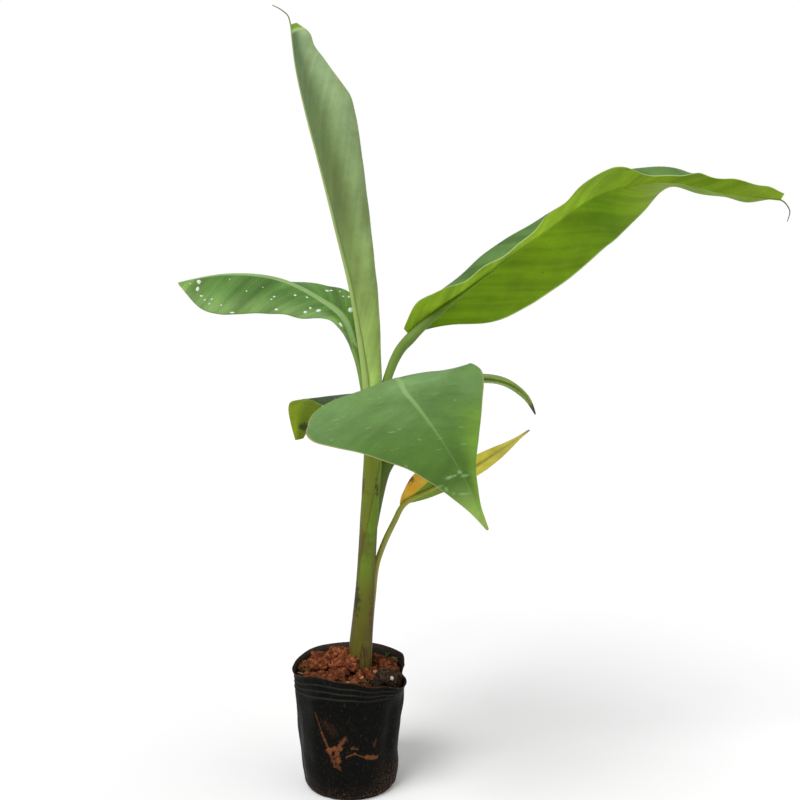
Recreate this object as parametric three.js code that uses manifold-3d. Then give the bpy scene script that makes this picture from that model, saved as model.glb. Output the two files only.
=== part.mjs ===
// A young banana plant in a black film grow bag: a leaning pseudostem, seven leaves and a lumpy root ball.
// Millimetres, +Z up. The origin is at the middle of the bag's flat underside. +X is the side to which
// the longest leaf reaches, and -Y is the front, to which the broad arching leaf reaches.

import * as THREE from "three";
import { mergeVertices } from "three/addons/utils/BufferGeometryUtils.js";
import Module from "manifold-3d";

const wasm = await Module();
wasm.setup();

// ---- driving dimensions ----
const GAP = 0.3; // between pieces that touch
const LEAF_THICKNESS_SHARE = 0.01; // of a leaf's length
const THIN_TIP_SHARE = 0.5; // a blade is never thicker than this share of its halves' mean width
const THINNEST_BLADE = 1;
const BAG_HEIGHT = 132;
const BAG_WALL = 1.6;
const BAG_RADII = [ // outer radius of the bag at each height
  [0, 45], [5, 48.5], [16, 50.5], [50, 54], [85, 56.5], [108, 57], [119, 57.5], [BAG_HEIGHT, 59],
];
const SOIL_TOP = 122;
const SOIL_MOUND = 5; // how much higher the soil is at the stem than at the bag
const STEM_CUT = 124; // the flat cut at the stem's foot
const CLOD_COUNT = 26;
const CLOD_RADIUS = [5, 12];
const CLOD_TURN = 2.4; // radians from one clod to the next, which spreads them evenly
const CLOD_REACH = 43; // how far out the last clod lies
const CLOD_ROUGHNESS = [0.78, 1.18]; // how far in and out a clod's corners lie
const CLOD_FLATNESS = 0.8;
const HEAPED_CLODS = [[-12, -8, 131, 15], [-24, 4, 128, 12], [0, -22, 126, 12]]; // x, y, z and radius
const BAG_SIDES = 40;
const SIDES = 12; // of a limb's section
const STEM_SIDES = 20;

const STEM = {
  line: [[9.5, 0, STEM_CUT], [16, 0, 205], [20, 0, 273], [24, 0, 336], [27, 0, 383]],
  radii: [13.4, 10.2, 9.3, 9.6, 10],
};

// A petiole runs along its line, with a radius at each even step of it.
// A blade hangs on its rib. heading is the way that the leaf points on plan, in degrees from +X. roll turns
// the whole blade about its rib. Each half has widths, the lift of its surface from level where it leaves
// the rib, and the curl that it has gained at its margin, all of them at even steps along the rib.
const LEAVES = [
  {
    name: "spear", colour: 0x8fa96b,
    petiole: {
      line: [[27, 0, 383.3], [26.8, 0, 429], [22.5, 0, 476], [15.8, 0, 522]], radii: [8, 6.6, 9, 12],
    },
    rib: [[6, 0, 519], [-9, 0, 579], [-25, 0, 642], [-39, 0, 695], [-48, 0, 736], [-53, 4, 775]],
    heading: 180, roll: [0, 0], power: 1,
    left: {
      widths: [33, 39, 47, 56, 65, 62, 32, 8], lift: [0, 0], curl: [160, 160, 155, 150, 140, 122, 100, 80],
    },
    right: { widths: [24, 30, 38, 44, 34, 3], lift: [0, 0], curl: [130, 120, 110, 90, 60] },
    tail: { line: [[-53, 4, 769], [-56, 4, 784], [-63, 4, 790], [-71, 4, 794]], radii: [2.2, 1.5, 1.2, 1] },
  },
  {
    name: "right", colour: 0x7a9a3a, split: 0.66,
    petiole: { line: [[32, 3, 377], [39.5, 3, 431], [53, 2, 463], [64, 0, 476]], radii: [5, 5, 5.6, 6.2] },
    rib: [[64, 0, 476], [121, -4, 521], [188, -6, 570], [252, -4, 613], [317, 2, 625], [378, 10, 614],
      [433, 16, 609]],
    heading: 0, roll: [-55, -58, -60, -50, -18, 0, 5], power: 2,
    left: { widths: [2, 49, 60, 62, 38, 20, 2], lift: [0, 0, 0, 5, 8], curl: [5, 5, 0] },
    right: {
      widths: [20, 42, 48, 47, 32, 22, 3], lift: [-6, -36, -42, -28, 5, 35, 50], curl: [20, 10, 0],
    },
    tail: {
      line: [[429, 16, 610], [438, 16, 605], [443, 17, 597], [441, 17, 587]], radii: [2.2, 1.5, 1.2, 1],
    },
  },
  {
    name: "left", colour: 0x5f8a4a,
    petiole: { line: [[20, 2, 383], [16, 5, 418], [10, 7, 451], [6, 8, 464]], radii: [4, 3.6, 3.6, 4] },
    rib: [[6, 8, 464], [-5, 12, 491], [-31, 18, 511], [-70, 24, 529], [-121, 28, 534], [-174, 30, 525]],
    roll: [-55, -50, -50, -50, -50], power: 2,
    left: { widths: [2, 9, 18, 27, 37, 45, 44, 4], lift: [0, -10, -25, -35, -35], curl: [0, 0] },
    right: { widths: [3, 24, 28, 36, 34, 2], lift: [10, 10, -45, -70, -70], curl: [0, 0] },
  },
  {
    name: "front", colour: 0x6d9655,
    petiole: {
      line: [[27, -3, 368], [31, -10, 398], [36, -11, 421], [43, -16, 430]], radii: [4.6, 4.4, 4.4, 4.4],
    },
    rib: [
      [43, -16, 430], [59, -70, 424], [75, -125, 412], [92, -175, 394], [108, -215, 371], [124, -245, 338],
    ],
    roll: [15, 12, 5, 0], power: 2,
    left: { widths: [6, 68, 54, 32, 12, 1], lift: [10, 8, 0, 0], curl: [0, 0] },
    right: { widths: [8, 100, 86, 48, 20, 1], lift: [0, -5, -10, -20], curl: [0, 0] },
  },
  {
    name: "low_right", colour: 0x557d35,
    petiole: {
      line: [[27, 4, 262], [30, 6, 303], [37, 8, 334], [52, 10, 381], [78, 10, 407]],
      radii: [4, 5, 5.4, 4.4, 3.6],
    },
    rib: [[78, 10, 407], [109, 20, 423], [139, 26, 427], [165, 30, 421], [183, 30, 408], [193, 30, 389]],
    roll: [-20, -20, -20], power: 2,
    left: { widths: [3, 24, 20, 12, 5, 1], lift: [0, 0], curl: [0, 0] },
    right: { widths: [3, 24, 20, 12, 5, 1], lift: [0, 0], curl: [0, 0] },
  },
  {
    name: "back_left", colour: 0x6f9140,
    petiole: {
      line: [[25, 5, 360], [25, 11, 384], [26, 14, 398], [24, 20, 403]], radii: [3.6, 3.6, 3.6, 3.6],
    },
    rib: [[24, 20, 403], [0, 50, 403], [-30, 85, 399], [-56, 112, 387], [-63, 122, 345]],
    roll: [0, 0], power: 2,
    left: { widths: [3, 28, 29, 22, 2], lift: [-5, 0, 5], curl: [0, 0] },
    right: { widths: [3, 34, 36, 30, 2], lift: [0, 0, 0], curl: [0, 0] },
  },
  {
    name: "yellow", colour: 0xb9b046,
    petiole: {
      line: [[23, 3, 198], [28, 4, 238], [35, 6, 259], [46, 6, 283], [53, 6, 297]],
      radii: [3.4, 3.4, 3.2, 3, 3.2],
    },
    rib: [[53, 6, 297], [84, 8, 316], [116, 10, 331], [152, 10, 351], [185, 10, 378]],
    roll: [-50, -50], power: 2,
    left: { widths: [4, 14, 15, 9, 1], lift: [0, 0], curl: [0, 0] },
    right: { widths: [14, 24, 18, 8, 1], lift: [20, 20], curl: [0, 0] },
  },
];

// ---- small helpers ----
const plant = new THREE.Group();
const rad = THREE.MathUtils.degToRad;

// A smooth value at share t of a list of numbers spread evenly along a line.
function along(values, t) {
  return lineOf(values.map((v) => [v, 0, 0])).getPoint(THREE.MathUtils.clamp(t, 0, 1)).x;
}

function lineOf(points) {
  return new THREE.CatmullRomCurve3(points.map((p) => new THREE.Vector3(...p)), false, "catmullrom", 0.5);
}

// Pseudo-random numbers from 0 to 1, the same each time.
function seeded(seed) {
  let state = seed;
  return () => {
    state = (state * 16807) % 2147483647;
    return state / 2147483647;
  };
}

function geometryOf(vertices, faces) {
  const geometry = new THREE.BufferGeometry();
  geometry.setAttribute("position", new THREE.Float32BufferAttribute(vertices.flat(), 3));
  geometry.setIndex(faces.flat());
  return geometry;
}

function solidOf(geometry) {
  const bare = geometry.clone();
  bare.deleteAttribute("normal");
  bare.deleteAttribute("uv");
  const merged = mergeVertices(bare, 1e-4);
  return new wasm.Manifold(new wasm.Mesh({
    numProp: 3,
    vertProperties: new Float32Array(merged.attributes.position.array),
    triVerts: new Uint32Array(merged.index.array),
  }));
}

function geometryFrom(solid) {
  const mesh = solid.getMesh();
  const geometry = new THREE.BufferGeometry();
  geometry.setAttribute("position", new THREE.BufferAttribute(new Float32Array(mesh.vertProperties), 3));
  geometry.setIndex(new THREE.BufferAttribute(new Uint32Array(mesh.triVerts), 1));
  return geometry;
}

// The largest body of a solid, without the scraps that a cut leaves.
function largest(solid) {
  return solid.decompose().sort((a, b) => b.volume() - a.volume())[0];
}

function add(name, geometry, colour, roughness = 0.6) {
  geometry.computeVertexNormals();
  const material = new THREE.MeshStandardMaterial({ color: colour, roughness, metalness: 0 });
  const mesh = new THREE.Mesh(geometry, material);
  mesh.name = name;
  plant.add(mesh);
}

// Rings of equal count joined into a skin, closed at each end by a fan round the ring's middle.
function skin(rings) {
  const sides = rings[0].length;
  const vertices = rings.flat().map((p) => [p.x, p.y, p.z]);
  const faces = [];
  for (let i = 0; i + 1 < rings.length; i += 1) {
    for (let j = 0; j < sides; j += 1) {
      const k = (j + 1) % sides;
      const [a, b, c, d] = [i * sides + j, i * sides + k, (i + 1) * sides + k, (i + 1) * sides + j];
      faces.push([a, b, c], [a, c, d]);
    }
  }
  for (const [i, turn] of [[0, true], [rings.length - 1, false]]) {
    const middle = rings[i].reduce((sum, p) => sum.add(p), new THREE.Vector3()).divideScalar(sides);
    const hub = vertices.push([middle.x, middle.y, middle.z]) - 1;
    for (let j = 0; j < sides; j += 1) {
      const [a, b] = [i * sides + j, i * sides + (j + 1) % sides];
      faces.push(turn ? [hub, b, a] : [hub, a, b]);
    }
  }
  return geometryOf(vertices, faces);
}

// A tapering limb. Its ends are level if it is told so. grown makes it fatter all round and longer at its
// foot, and head makes it longer at its top.
function limb({ line, radii }, { sides = SIDES, steps = 12, grown = 0, head = 0, level = false } = {}) {
  const curve = lineOf(line);
  const rings = [];
  for (let i = 0; i <= steps; i += 1) {
    const t = i / steps;
    const centre = curve.getPoint(t);
    const ahead = level ? new THREE.Vector3(0, 0, 1) : curve.getTangent(t);
    if (i === 0) centre.addScaledVector(ahead, -grown);
    if (i === steps) centre.addScaledVector(ahead, head);
    const side = new THREE.Vector3(0, 1, 0).addScaledVector(ahead, -ahead.y).normalize();
    const front = new THREE.Vector3().crossVectors(side, ahead);
    const radius = along(radii, t) + grown;
    const ring = [];
    for (let j = 0; j < sides; j += 1) {
      const turn = (2 * Math.PI * j) / sides;
      const out = front.clone().multiplyScalar(Math.cos(turn)).addScaledVector(side, Math.sin(turn));
      ring.push(centre.clone().addScaledVector(out, radius));
    }
    rings.push(ring);
  }
  return skin(rings);
}

// ---- a blade ----
// One row of points from the right margin over the rib to the left margin, with the surface's normals.
function bladeRow(leaf, t, cells) {
  const curve = lineOf(leaf.rib);
  const point = curve.getPoint(t);
  const ahead = curve.getTangent(t);
  const [first, last] = [leaf.rib[0], leaf.rib[leaf.rib.length - 1]];
  const way = Math.atan2(last[1] - first[1], last[0] - first[0]);
  const heading = leaf.heading === undefined ? way : rad(leaf.heading);
  const side = new THREE.Vector3(-Math.sin(heading), Math.cos(heading), 0);
  side.addScaledVector(ahead, -side.dot(ahead)).normalize();
  side.applyAxisAngle(ahead, rad(along(leaf.roll, t)));
  const up = new THREE.Vector3().crossVectors(ahead, side);
  const half = (key, sign) => {
    const { widths, lift, curl } = leaf[key];
    const step = along(widths, t) / cells;
    const places = [];
    let here = point.clone();
    for (let j = 0; j < cells; j += 1) {
      const share = (j + 0.5) / cells;
      const angle = rad(along(lift, t) + along(curl, t) * share ** leaf.power);
      const out = side.clone().multiplyScalar(sign * Math.cos(angle)).addScaledVector(up, Math.sin(angle));
      here = here.clone().addScaledVector(out, step);
      const normal = up.clone().multiplyScalar(Math.cos(angle));
      normal.addScaledVector(side, -sign * Math.sin(angle));
      places.push({ here, normal });
    }
    return places;
  };
  return [...half("right", -1).reverse(), { here: point, normal: up }, ...half("left", 1)];
}

// A blade from share `from` to share `to` of its rib, as a closed sheet that thins where it is narrow.
function blade(leaf, from, to, rows, cells) {
  const full = lineOf(leaf.rib).getLength() * LEAF_THICKNESS_SHARE;
  const rings = [];
  for (let i = 0; i <= rows; i += 1) {
    const t = from + ((to - from) * i) / rows;
    const width = (along(leaf.left.widths, t) + along(leaf.right.widths, t)) / 2;
    const thick = Math.max(THINNEST_BLADE, Math.min(full, width * THIN_TIP_SHARE));
    const places = bladeRow(leaf, t, cells);
    const top = places.map(({ here, normal }) => here.clone().addScaledVector(normal, thick / 2));
    const under = places.map(({ here, normal }) => here.clone().addScaledVector(normal, -thick / 2));
    rings.push([...under, ...top.reverse()]);
  }
  const sides = rings[0].length;
  const across = sides / 2;
  const vertices = rings.flat().map((p) => [p.x, p.y, p.z]);
  const faces = [];
  for (let i = 0; i < rows; i += 1) {
    for (let j = 0; j < sides; j += 1) {
      const k = (j + 1) % sides;
      const [a, b, c, d] = [i * sides + j, i * sides + k, (i + 1) * sides + k, (i + 1) * sides + j];
      faces.push([a, b, c], [a, c, d]);
    }
  }
  for (const [i, turn] of [[0, true], [rows, false]]) {
    for (let j = 0; j + 1 < across; j += 1) {
      const [a, b, c, d] = [j, j + 1, sides - 2 - j, sides - 1 - j].map((n) => i * sides + n);
      faces.push(...(turn ? [[a, d, c], [a, c, b]] : [[a, b, c], [a, c, d]]));
    }
  }
  return geometryOf(vertices, faces);
}

// ---- the bag and its soil ----
function bagRadius(height) {
  const i = Math.max(1, BAG_RADII.findIndex(([z]) => z >= height));
  const [[z0, r0], [z1, r1]] = [BAG_RADII[i - 1], BAG_RADII[i]];
  return r0 + ((r1 - r0) * (height - z0)) / (z1 - z0);
}

function bag() {
  const outer = BAG_RADII.map(([z, r]) => new THREE.Vector2(r, z));
  const inner = BAG_RADII.slice(1).reverse().map(([z, r]) => new THREE.Vector2(r - BAG_WALL, z));
  const floor = new THREE.Vector2(BAG_RADII[0][1] - BAG_WALL, BAG_WALL);
  const profile = [new THREE.Vector2(0, 0), ...outer, ...inner, floor, new THREE.Vector2(0, BAG_WALL)];
  const lathe = new THREE.LatheGeometry(profile, BAG_SIDES);
  lathe.rotateX(Math.PI / 2);
  return mergeVertices(withoutExtras(lathe), 1e-4);
}

function withoutExtras(geometry) {
  geometry.deleteAttribute("normal");
  geometry.deleteAttribute("uv");
  return geometry;
}

// An earth clod: a lumpy ball whose corners move in and out by a seeded rule.
function clod(x, y, z, radius, random) {
  const ball = mergeVertices(withoutExtras(new THREE.IcosahedronGeometry(radius, 1)), 1e-4);
  const place = ball.attributes.position;
  for (let i = 0; i < place.count; i += 1) {
    const stretch = THREE.MathUtils.lerp(...CLOD_ROUGHNESS, random());
    const corner = new THREE.Vector3().fromBufferAttribute(place, i).multiplyScalar(stretch);
    place.setXYZ(i, corner.x + x, corner.y + y, corner.z * CLOD_FLATNESS + z);
  }
  return solidOf(ball);
}

function rootBall(stem) {
  const wall = (z) => bagRadius(z) - BAG_WALL - GAP;
  const underside = BAG_WALL + GAP;
  const heights = BAG_RADII.map(([z]) => z).filter((z) => z > underside && z < SOIL_TOP).slice(1);
  const profile = [
    new THREE.Vector2(0, underside),
    new THREE.Vector2(wall(0) - 1, underside),
    ...[...heights, SOIL_TOP].map((z) => new THREE.Vector2(wall(z), z)),
    new THREE.Vector2(wall(SOIL_TOP) / 2, SOIL_TOP + SOIL_MOUND * 0.6),
    new THREE.Vector2(0, SOIL_TOP + SOIL_MOUND),
  ];
  const lathe = new THREE.LatheGeometry(profile, BAG_SIDES);
  lathe.rotateX(Math.PI / 2);
  let soil = solidOf(lathe);
  const random = seeded(41);
  for (let i = 0; i < CLOD_COUNT; i += 1) {
    const turn = i * CLOD_TURN;
    const radius = THREE.MathUtils.lerp(...CLOD_RADIUS, random());
    const room = wall(SOIL_TOP) - 1 - radius * CLOD_ROUGHNESS[1];
    const out = Math.min(CLOD_REACH * Math.sqrt((i + 0.6) / CLOD_COUNT), room);
    const height = SOIL_TOP + THREE.MathUtils.lerp(1, 4, random());
    soil = soil.add(clod(out * Math.cos(turn), out * Math.sin(turn), height, radius, random));
  }
  for (const [x, y, z, radius] of HEAPED_CLODS) soil = soil.add(clod(x, y, z, radius, random));
  return largest(soil.subtract(stem));
}

// ---- the plant ----
const stemShape = { sides: STEM_SIDES, steps: 16, level: true };
const grownStem = solidOf(limb(STEM, { ...stemShape, grown: GAP, head: GAP }));
add("grow_bag", bag(), 0x1c1c1e, 0.45);
add("root_ball", geometryFrom(rootBall(grownStem)), 0x8d5538, 0.95);
add("pseudostem", limb(STEM, stemShape), 0x71873a);

let taken = grownStem;
for (const leaf of LEAVES) {
  const end = lineOf(leaf.petiole.line);
  const short = 1 - GAP / end.getLength();
  const line = leaf.petiole.line.slice(0, -1).concat([end.getPoint(short).toArray()]);
  const stalk = largest(solidOf(limb({ line, radii: leaf.petiole.radii })).subtract(taken));
  add(`petiole_${leaf.name}`, geometryFrom(stalk), leaf.colour);
  taken = taken.add(solidOf(limb(leaf.petiole, { grown: GAP })));
}
for (const leaf of LEAVES) {
  const parts = leaf.split ? [[0, leaf.split, ""], [leaf.split + 0.001, 1, "_tip"]] : [[0, 1, ""]];
  for (const [from, to, end] of parts) {
    const rows = Math.max(8, Math.round(18 * (to - from)));
    let shape = solidOf(blade(leaf, from, to, rows, 3)).subtract(taken);
    if (leaf.tail && to === 1) shape = shape.add(solidOf(limb(leaf.tail, { sides: 6, steps: 6 })));
    add(`blade_${leaf.name}${end}`, geometryFrom(largest(shape)), leaf.colour);
  }
}

export default plant;
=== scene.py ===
"""Looks of a young banana plant in a black film grow bag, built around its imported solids."""

import math
import random

import bmesh
import bpy
import numpy as np
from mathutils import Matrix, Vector, noise


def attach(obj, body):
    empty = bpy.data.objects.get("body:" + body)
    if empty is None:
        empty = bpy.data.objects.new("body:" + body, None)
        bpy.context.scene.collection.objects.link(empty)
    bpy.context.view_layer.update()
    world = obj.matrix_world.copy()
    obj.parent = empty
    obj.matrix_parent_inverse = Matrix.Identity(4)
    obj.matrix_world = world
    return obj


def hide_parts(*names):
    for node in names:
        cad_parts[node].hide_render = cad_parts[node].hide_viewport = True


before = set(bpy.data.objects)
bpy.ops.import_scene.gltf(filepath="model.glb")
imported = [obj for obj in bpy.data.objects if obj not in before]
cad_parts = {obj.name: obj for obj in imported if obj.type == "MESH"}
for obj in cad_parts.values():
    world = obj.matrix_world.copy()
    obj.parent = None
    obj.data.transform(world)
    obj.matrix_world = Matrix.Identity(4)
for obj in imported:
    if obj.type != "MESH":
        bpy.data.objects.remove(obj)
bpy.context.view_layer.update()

MM = 0.001  # shapes are worked out in millimetres, and the meshes are in metres

# ---- sizes, in millimetres and degrees ----
RIM = 132  # the film's rim, before it is lowered and raised round the mouth
BODY_TOP = 100  # above it the film follows the uneven rim
BAG_RADII = [(0, 45), (5, 48.5), (16, 50.5), (50, 54), (85, 56.5), (108, 57), (119, 57.5), (RIM, 59)]
RIM_HEIGHTS = [119, 130, 132, 131.5, 131.5, 131, 128, 131, 136, 133, 125.5, 117.5]  # round the bag from +X
RIM_REACH = [-4, 2, 0, 0, 0, -3, -1, 2.5, 0, 0, 1, 5]  # how far the mouth stands out at the same places
WELD_DEPTHS = (8, 14, 20)  # welded ribs below the rim
FILM = 0.6
SOIL_TOP = 122
STEM_CUT = 124
BLADE_SHEET = 0.7
VEIN_SPACING = 5.5
VEIN_SLANT = 0.6  # how far a side vein runs forward for each millimetre outward, where a leaf gives none
VEIN_LIFT = 0.05  # how far the side veins stand out of a blade
LONG_WAVE, SHORT_WAVE, WAVE_HEIGHT = 13, 6.1, 0.6  # the ripples along a margin
RUFFLE_SIZE = 38  # the slow unevenness of a whole blade
CELL_GROWTH = 1.25  # a blade's cells grow wider towards the margin
STALK_GROOVE, STALK_DROP = 0.22, 0.75  # depth of the groove, and how far a stalk hangs under its line
STALK_ROWS, TAIL_ROWS, STEM_ROWS, STEM_SIDES, BAG_SIDES, BED_SIDES, BED_ROWS = 260, 30, 260, 96, 300, 180, 70
TUBE_SIDES, FLECK_SIDES = 28, 14
FLAT = [0, 0]  # angles that a leaf doesn't give

STEM = {
    "line": [(9.5, 0, STEM_CUT), (16, 0, 205), (20, 0, 273), (24, 0, 336), (27, 0, 383)],
    "radii": [13.4, 10.2, 9.3, 9.6, 10],
}
STEM_FOOT = STEM["line"][0][0]  # the stem stands this far right of the bag's middle
STEM_MIDDLE = 290  # the height at which the sheaths' edges are placed
SHEATH_EDGES = [  # angle at the middle, turn for each millimetre up, thickness, and lowest and highest point
    (-1.6, 0.015, 1.0, 225, 350), (2.2, -0.006, 0.7, 150, 420),
    (-2.2, 0.002, 0.6, 120, 300), (0.9, 0.004, 0.6, 120, 260),
]
SHEATH_REACH, EDGE_WIDTH = 2.4, 0.09  # in radians: how far round a sheath thins out, and its edge's width

# The numbers of a leaf are spread evenly along its line. stalk leads up to the blade's first rib point, and
# tail runs on from the last. roll turns the blade about its rib, lift is each half's angle from level at the
# rib, curl is what it gains by the margin, hook is a bend of the outer part alone, and sweep draws the margin
# towards the tip. wing is the share by which the blade starts before its rib. also_replaces names the solids
# that a blade stands for beside its own.
LEAVES = {
    "spear": {
        "stalk": [(24, 0, 384)],
        "rib": [(24, 0, 384), (21, 0, 430), (14, 0, 476), (6, 0, 519), (-9, 0, 579), (-25, 0, 642),
                (-39, 0, 695), (-48, 0, 736), (-53, 4, 775)],
        "tail": [(-56, 4, 784), (-63, 4, 790), (-71, 4, 794)],
        "stalk_radii": [4.5], "rib_radii": [4.2, 4, 3.3, 2.5, 1.9, 1.5, 1.2, 1.0, 0.8],
        "heading": 180, "power": 1,
        "left": {"widths": [16, 16.7, 17.5, 19.3, 21.5, 24.2, 27, 29.5, 32, 35, 38.5, 42.7, 47, 50.9, 54.5,
                            58, 61, 63.4, 63, 56, 48, 40, 31, 27, 10],
                 "curl": [170, 165, 163, 160, 155, 148, 135, 110, 90]},
        "right": {"widths": [14, 16, 22, 26, 33, 40, 46, 34, 4],
                  "curl": [150, 145, 140, 130, 120, 110, 95, 70, 60]},
    },
    "right": {
        "stalk": [(32, 3, 377), (39.5, 3, 431), (53, 2, 463)],
        "rib": [(64, 0, 476), (121, -4, 521), (188, -6, 570), (252, -4, 613), (317, 2, 625),
                (378, 10, 614), (433, 16, 609)],
        "tail": [(438, 16, 605), (443, 17, 597), (441, 17, 587)],
        "stalk_radii": [5, 5, 5.4], "rib_radii": [5.4, 1.5, 0.4, 0.3, 0.3, 0.4, 0.9],
        "heading": 0, "roll": [-55, -58, -60, -50, -18, 0, 5],
        "left": {"widths": [1, 25, 54, 63, 64, 64, 63, 52, 28, 22, 16, 13, 5],
                 "lift": [0, 0, 0, 0, 0, 0, 0, 2, 10, -4, -10, -25, 0], "curl": [5, 5, 0],
                 "sweep": [0, 0, 0, 0.15, 0.5, 0.2, 0]},
        "right": {"widths": [12, 33, 44, 54, 48, 34, 33, 43, 38, 17, 20, 19, 9],
                  "lift": [-6, -10, -12, -13, -18, -18, -5, 10, 25, 35, 45, 45, 45],
                  "curl": [20, 10, 0], "hook": [0, -30, -80, -95, -72, -40, -10, -80, -78, -10, 0, 0, 0]},
        "wing": 0.03, "slant": 1.2,
        "also_replaces": ["blade_right_tip"],
    },
    "left": {
        "stalk": [(20, 2, 383), (16, 5, 418), (10, 7, 451)],
        "rib": [(6, 8, 464), (-5, 12, 491), (-31, 18, 511), (-70, 24, 529), (-121, 28, 534), (-174, 30, 525)],
        "stalk_radii": [4, 3.6, 3.6], "rib_radii": [4.0, 4.3, 3.2, 2.2, 1.4, 0.6],
        "roll": [-55, -50, -50, -50, -50],
        "left": {"widths": [5, 7.5, 11, 13.5, 19.5, 28, 31.5, 36.5, 39, 41, 40, 30, 1.5],
                 "lift": [0, -10, -25, -35, -35], "sweep": [0, 0, 0, 0.1, 0.25]},
        "right": {"widths": [5, 22, 27, 36, 34, 2], "lift": [10, 10, -45, -70, -70]},
        "wing": 0.12,
    },
    "front": {
        "stalk": [(27, -3, 368), (31, -10, 398), (36, -11, 421)],
        "rib": [(43, -16, 430), (59, -70, 424), (75, -125, 412), (92, -175, 394), (108, -215, 371),
                (124, -245, 338)],
        "stalk_radii": [4.6, 4.4, 4.4], "rib_radii": [4.2, 3.2, 2.2, 1.3, 0.8, 0.4],
        "roll": [15, 12, 5, 0],
        "left": {"widths": [6, 36, 63, 72, 66, 55, 44, 33, 23, 14, 8, 3, 1],
                 "lift": [-14, 0, 12, 11, 9, 7, 4, 2, 0, 0, 0, 0, 0]},
        "right": {"widths": [8, 54, 92, 104, 101, 86, 70, 54, 39, 28, 18, 8, 1],
                  "lift": [0, -5, -10, -20]},
        "wing": 0.02,
    },
    "low_right": {
        "stalk": [(21, 3, 252), (29, 4, 303), (34.5, 5, 334), (40, 7, 354), (55, 9, 384)],
        "rib": [(78, 10, 407), (109, 20, 423), (139, 26, 427), (165, 30, 421), (183, 30, 408),
                (193, 30, 389)],
        "stalk_radii": [4, 5.6, 7.6, 10.5, 6.5], "rib_radii": [3.4, 2.4, 1.8, 1.3, 0.9, 0.5],
        "squash": [1, 0.8, 0.55, 0.4, 0.6, 1, 1, 1, 1, 1, 1],
        "roll": [-20, -20, -20],
        "left": {"widths": [3, 24, 22, 14, 9, 1.5]},
        "right": {"widths": [3, 24, 20, 11, 4, 1]},
        "wing": 0.1,
    },
    "back_left": {
        "stalk": [(25, 5, 360), (25, 11, 384), (26, 14, 398)],
        "rib": [(24, 20, 403), (0, 50, 403), (-30, 85, 399), (-56, 112, 387), (-63, 122, 345)],
        "stalk_radii": [3.6, 3.6, 3.6], "rib_radii": [3.2, 2.4, 1.0, 0.4, 0.3],
        "left": {"widths": [3, 28, 27, 17, 2], "lift": [-12, -14, -14, -11, -3, 0, 0, 2, 4, 5, 5]},
        "right": {"widths": [3, 20, 34, 37, 36, 35, 33, 27, 9]},
        "wing": 0.05,
    },
    "yellow": {
        "stalk": [(18.5, -2, 128), (20, -1, 164), (23.5, 2, 202), (28, 4, 238), (35, 6, 259), (46, 6, 283)],
        "rib": [(53, 6, 297), (84, 8, 315), (116, 10, 330), (152, 10, 353), (185, 10, 376)],
        "stalk_radii": [4.2, 4.2, 3.8, 3.4, 3.2, 3], "rib_radii": [2.8, 2, 1.5, 1, 0.4],
        "roll": [-50, -50],
        "left": {"widths": [1, 7, 11, 14, 15.5, 16, 16, 15, 14, 12, 8, 4, 1]},
        "right": {"widths": [1, 12, 23, 25, 23, 20, 16, 13, 10, 7, 4, 2, 1], "lift": [20, 20]},
        "wing": 0.06,
    },
}
SLOTS = {"spear": "spear_leaf", "right": "sunlit_leaf", "left": "spotted_leaf", "front": "broad_leaf",
         "low_right": "sunlit_leaf", "back_left": "broad_leaf", "yellow": "yellow_leaf"}


# ---- curves ----
def along(values, t):
    """A smooth value at share t of numbers or points spread evenly along a line."""
    v = np.asarray(values, float)
    t = np.asarray(t, float)
    v = np.concatenate([[2 * v[0] - v[1]], v, [2 * v[-1] - v[-2]]])
    spans = len(v) - 3
    x = np.clip(t * spans, 0, spans)
    i = np.minimum(x.astype(int), spans - 1)
    f = x - i
    if v.ndim > 1:
        f = f[..., None]
    a, b, c, d = v[i], v[i + 1], v[i + 2], v[i + 3]
    return 0.5 * (2 * b + (c - a) * f + (2 * a - 5 * b + 4 * c - d) * f**2 + (3 * b - a - 3 * c + d) * f**3)


def flowing(points, u):
    """Points at u steps along a smooth line through unevenly spaced points."""
    p = np.asarray(points, float)
    length = np.linalg.norm(np.diff(p, axis=0), axis=1)[:, None]
    straight = np.diff(p, axis=0) / length
    slope = np.empty_like(p)
    slope[1:-1] = (straight[:-1] * length[1:] + straight[1:] * length[:-1]) / (length[:-1] + length[1:])
    slope[0], slope[-1] = 1.5 * straight[0] - 0.5 * slope[1], 1.5 * straight[-1] - 0.5 * slope[-2]
    i = np.clip(np.floor(u).astype(int), 0, len(p) - 2)
    f = (u - i)[:, None]
    turn = (f**3 - 2 * f**2 + f) * slope[i] + (f**3 - f**2) * slope[i + 1]
    return (2 * f**3 - 3 * f**2 + 1) * p[i] + (3 * f**2 - 2 * f**3) * p[i + 1] + turn * length[i]


def unit(v):
    return v / np.linalg.norm(v, axis=-1, keepdims=True)


def smooth(low, high, x):
    x = np.clip((np.asarray(x, float) - low) / (high - low), 0, 1)
    return x * x * (3 - 2 * x)


def wavy(points, size, seed=0.0):
    """Smooth noise from -1 to 1 at each point."""
    return np.array([noise.noise(Vector((p[0] / size + seed, p[1] / size, p[2] / size))) for p in points])


def ring_turns(count):
    """Angles spread evenly round a circle."""
    return np.linspace(0, 2 * np.pi, count, endpoint=False)


def ring_noise(turns, size, level):
    """Smooth noise from -1 to 1 round a ring, at one level."""
    return np.array([noise.noise(Vector((size * math.cos(a), size * math.sin(a), level))) for a in turns])


# ---- meshes ----
SURFACES = {}  # each blade's points, normals, and shares along and across


def new_object(name, data):
    made = bpy.data.objects.new(name, data)
    bpy.context.scene.collection.objects.link(made)
    return made


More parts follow.
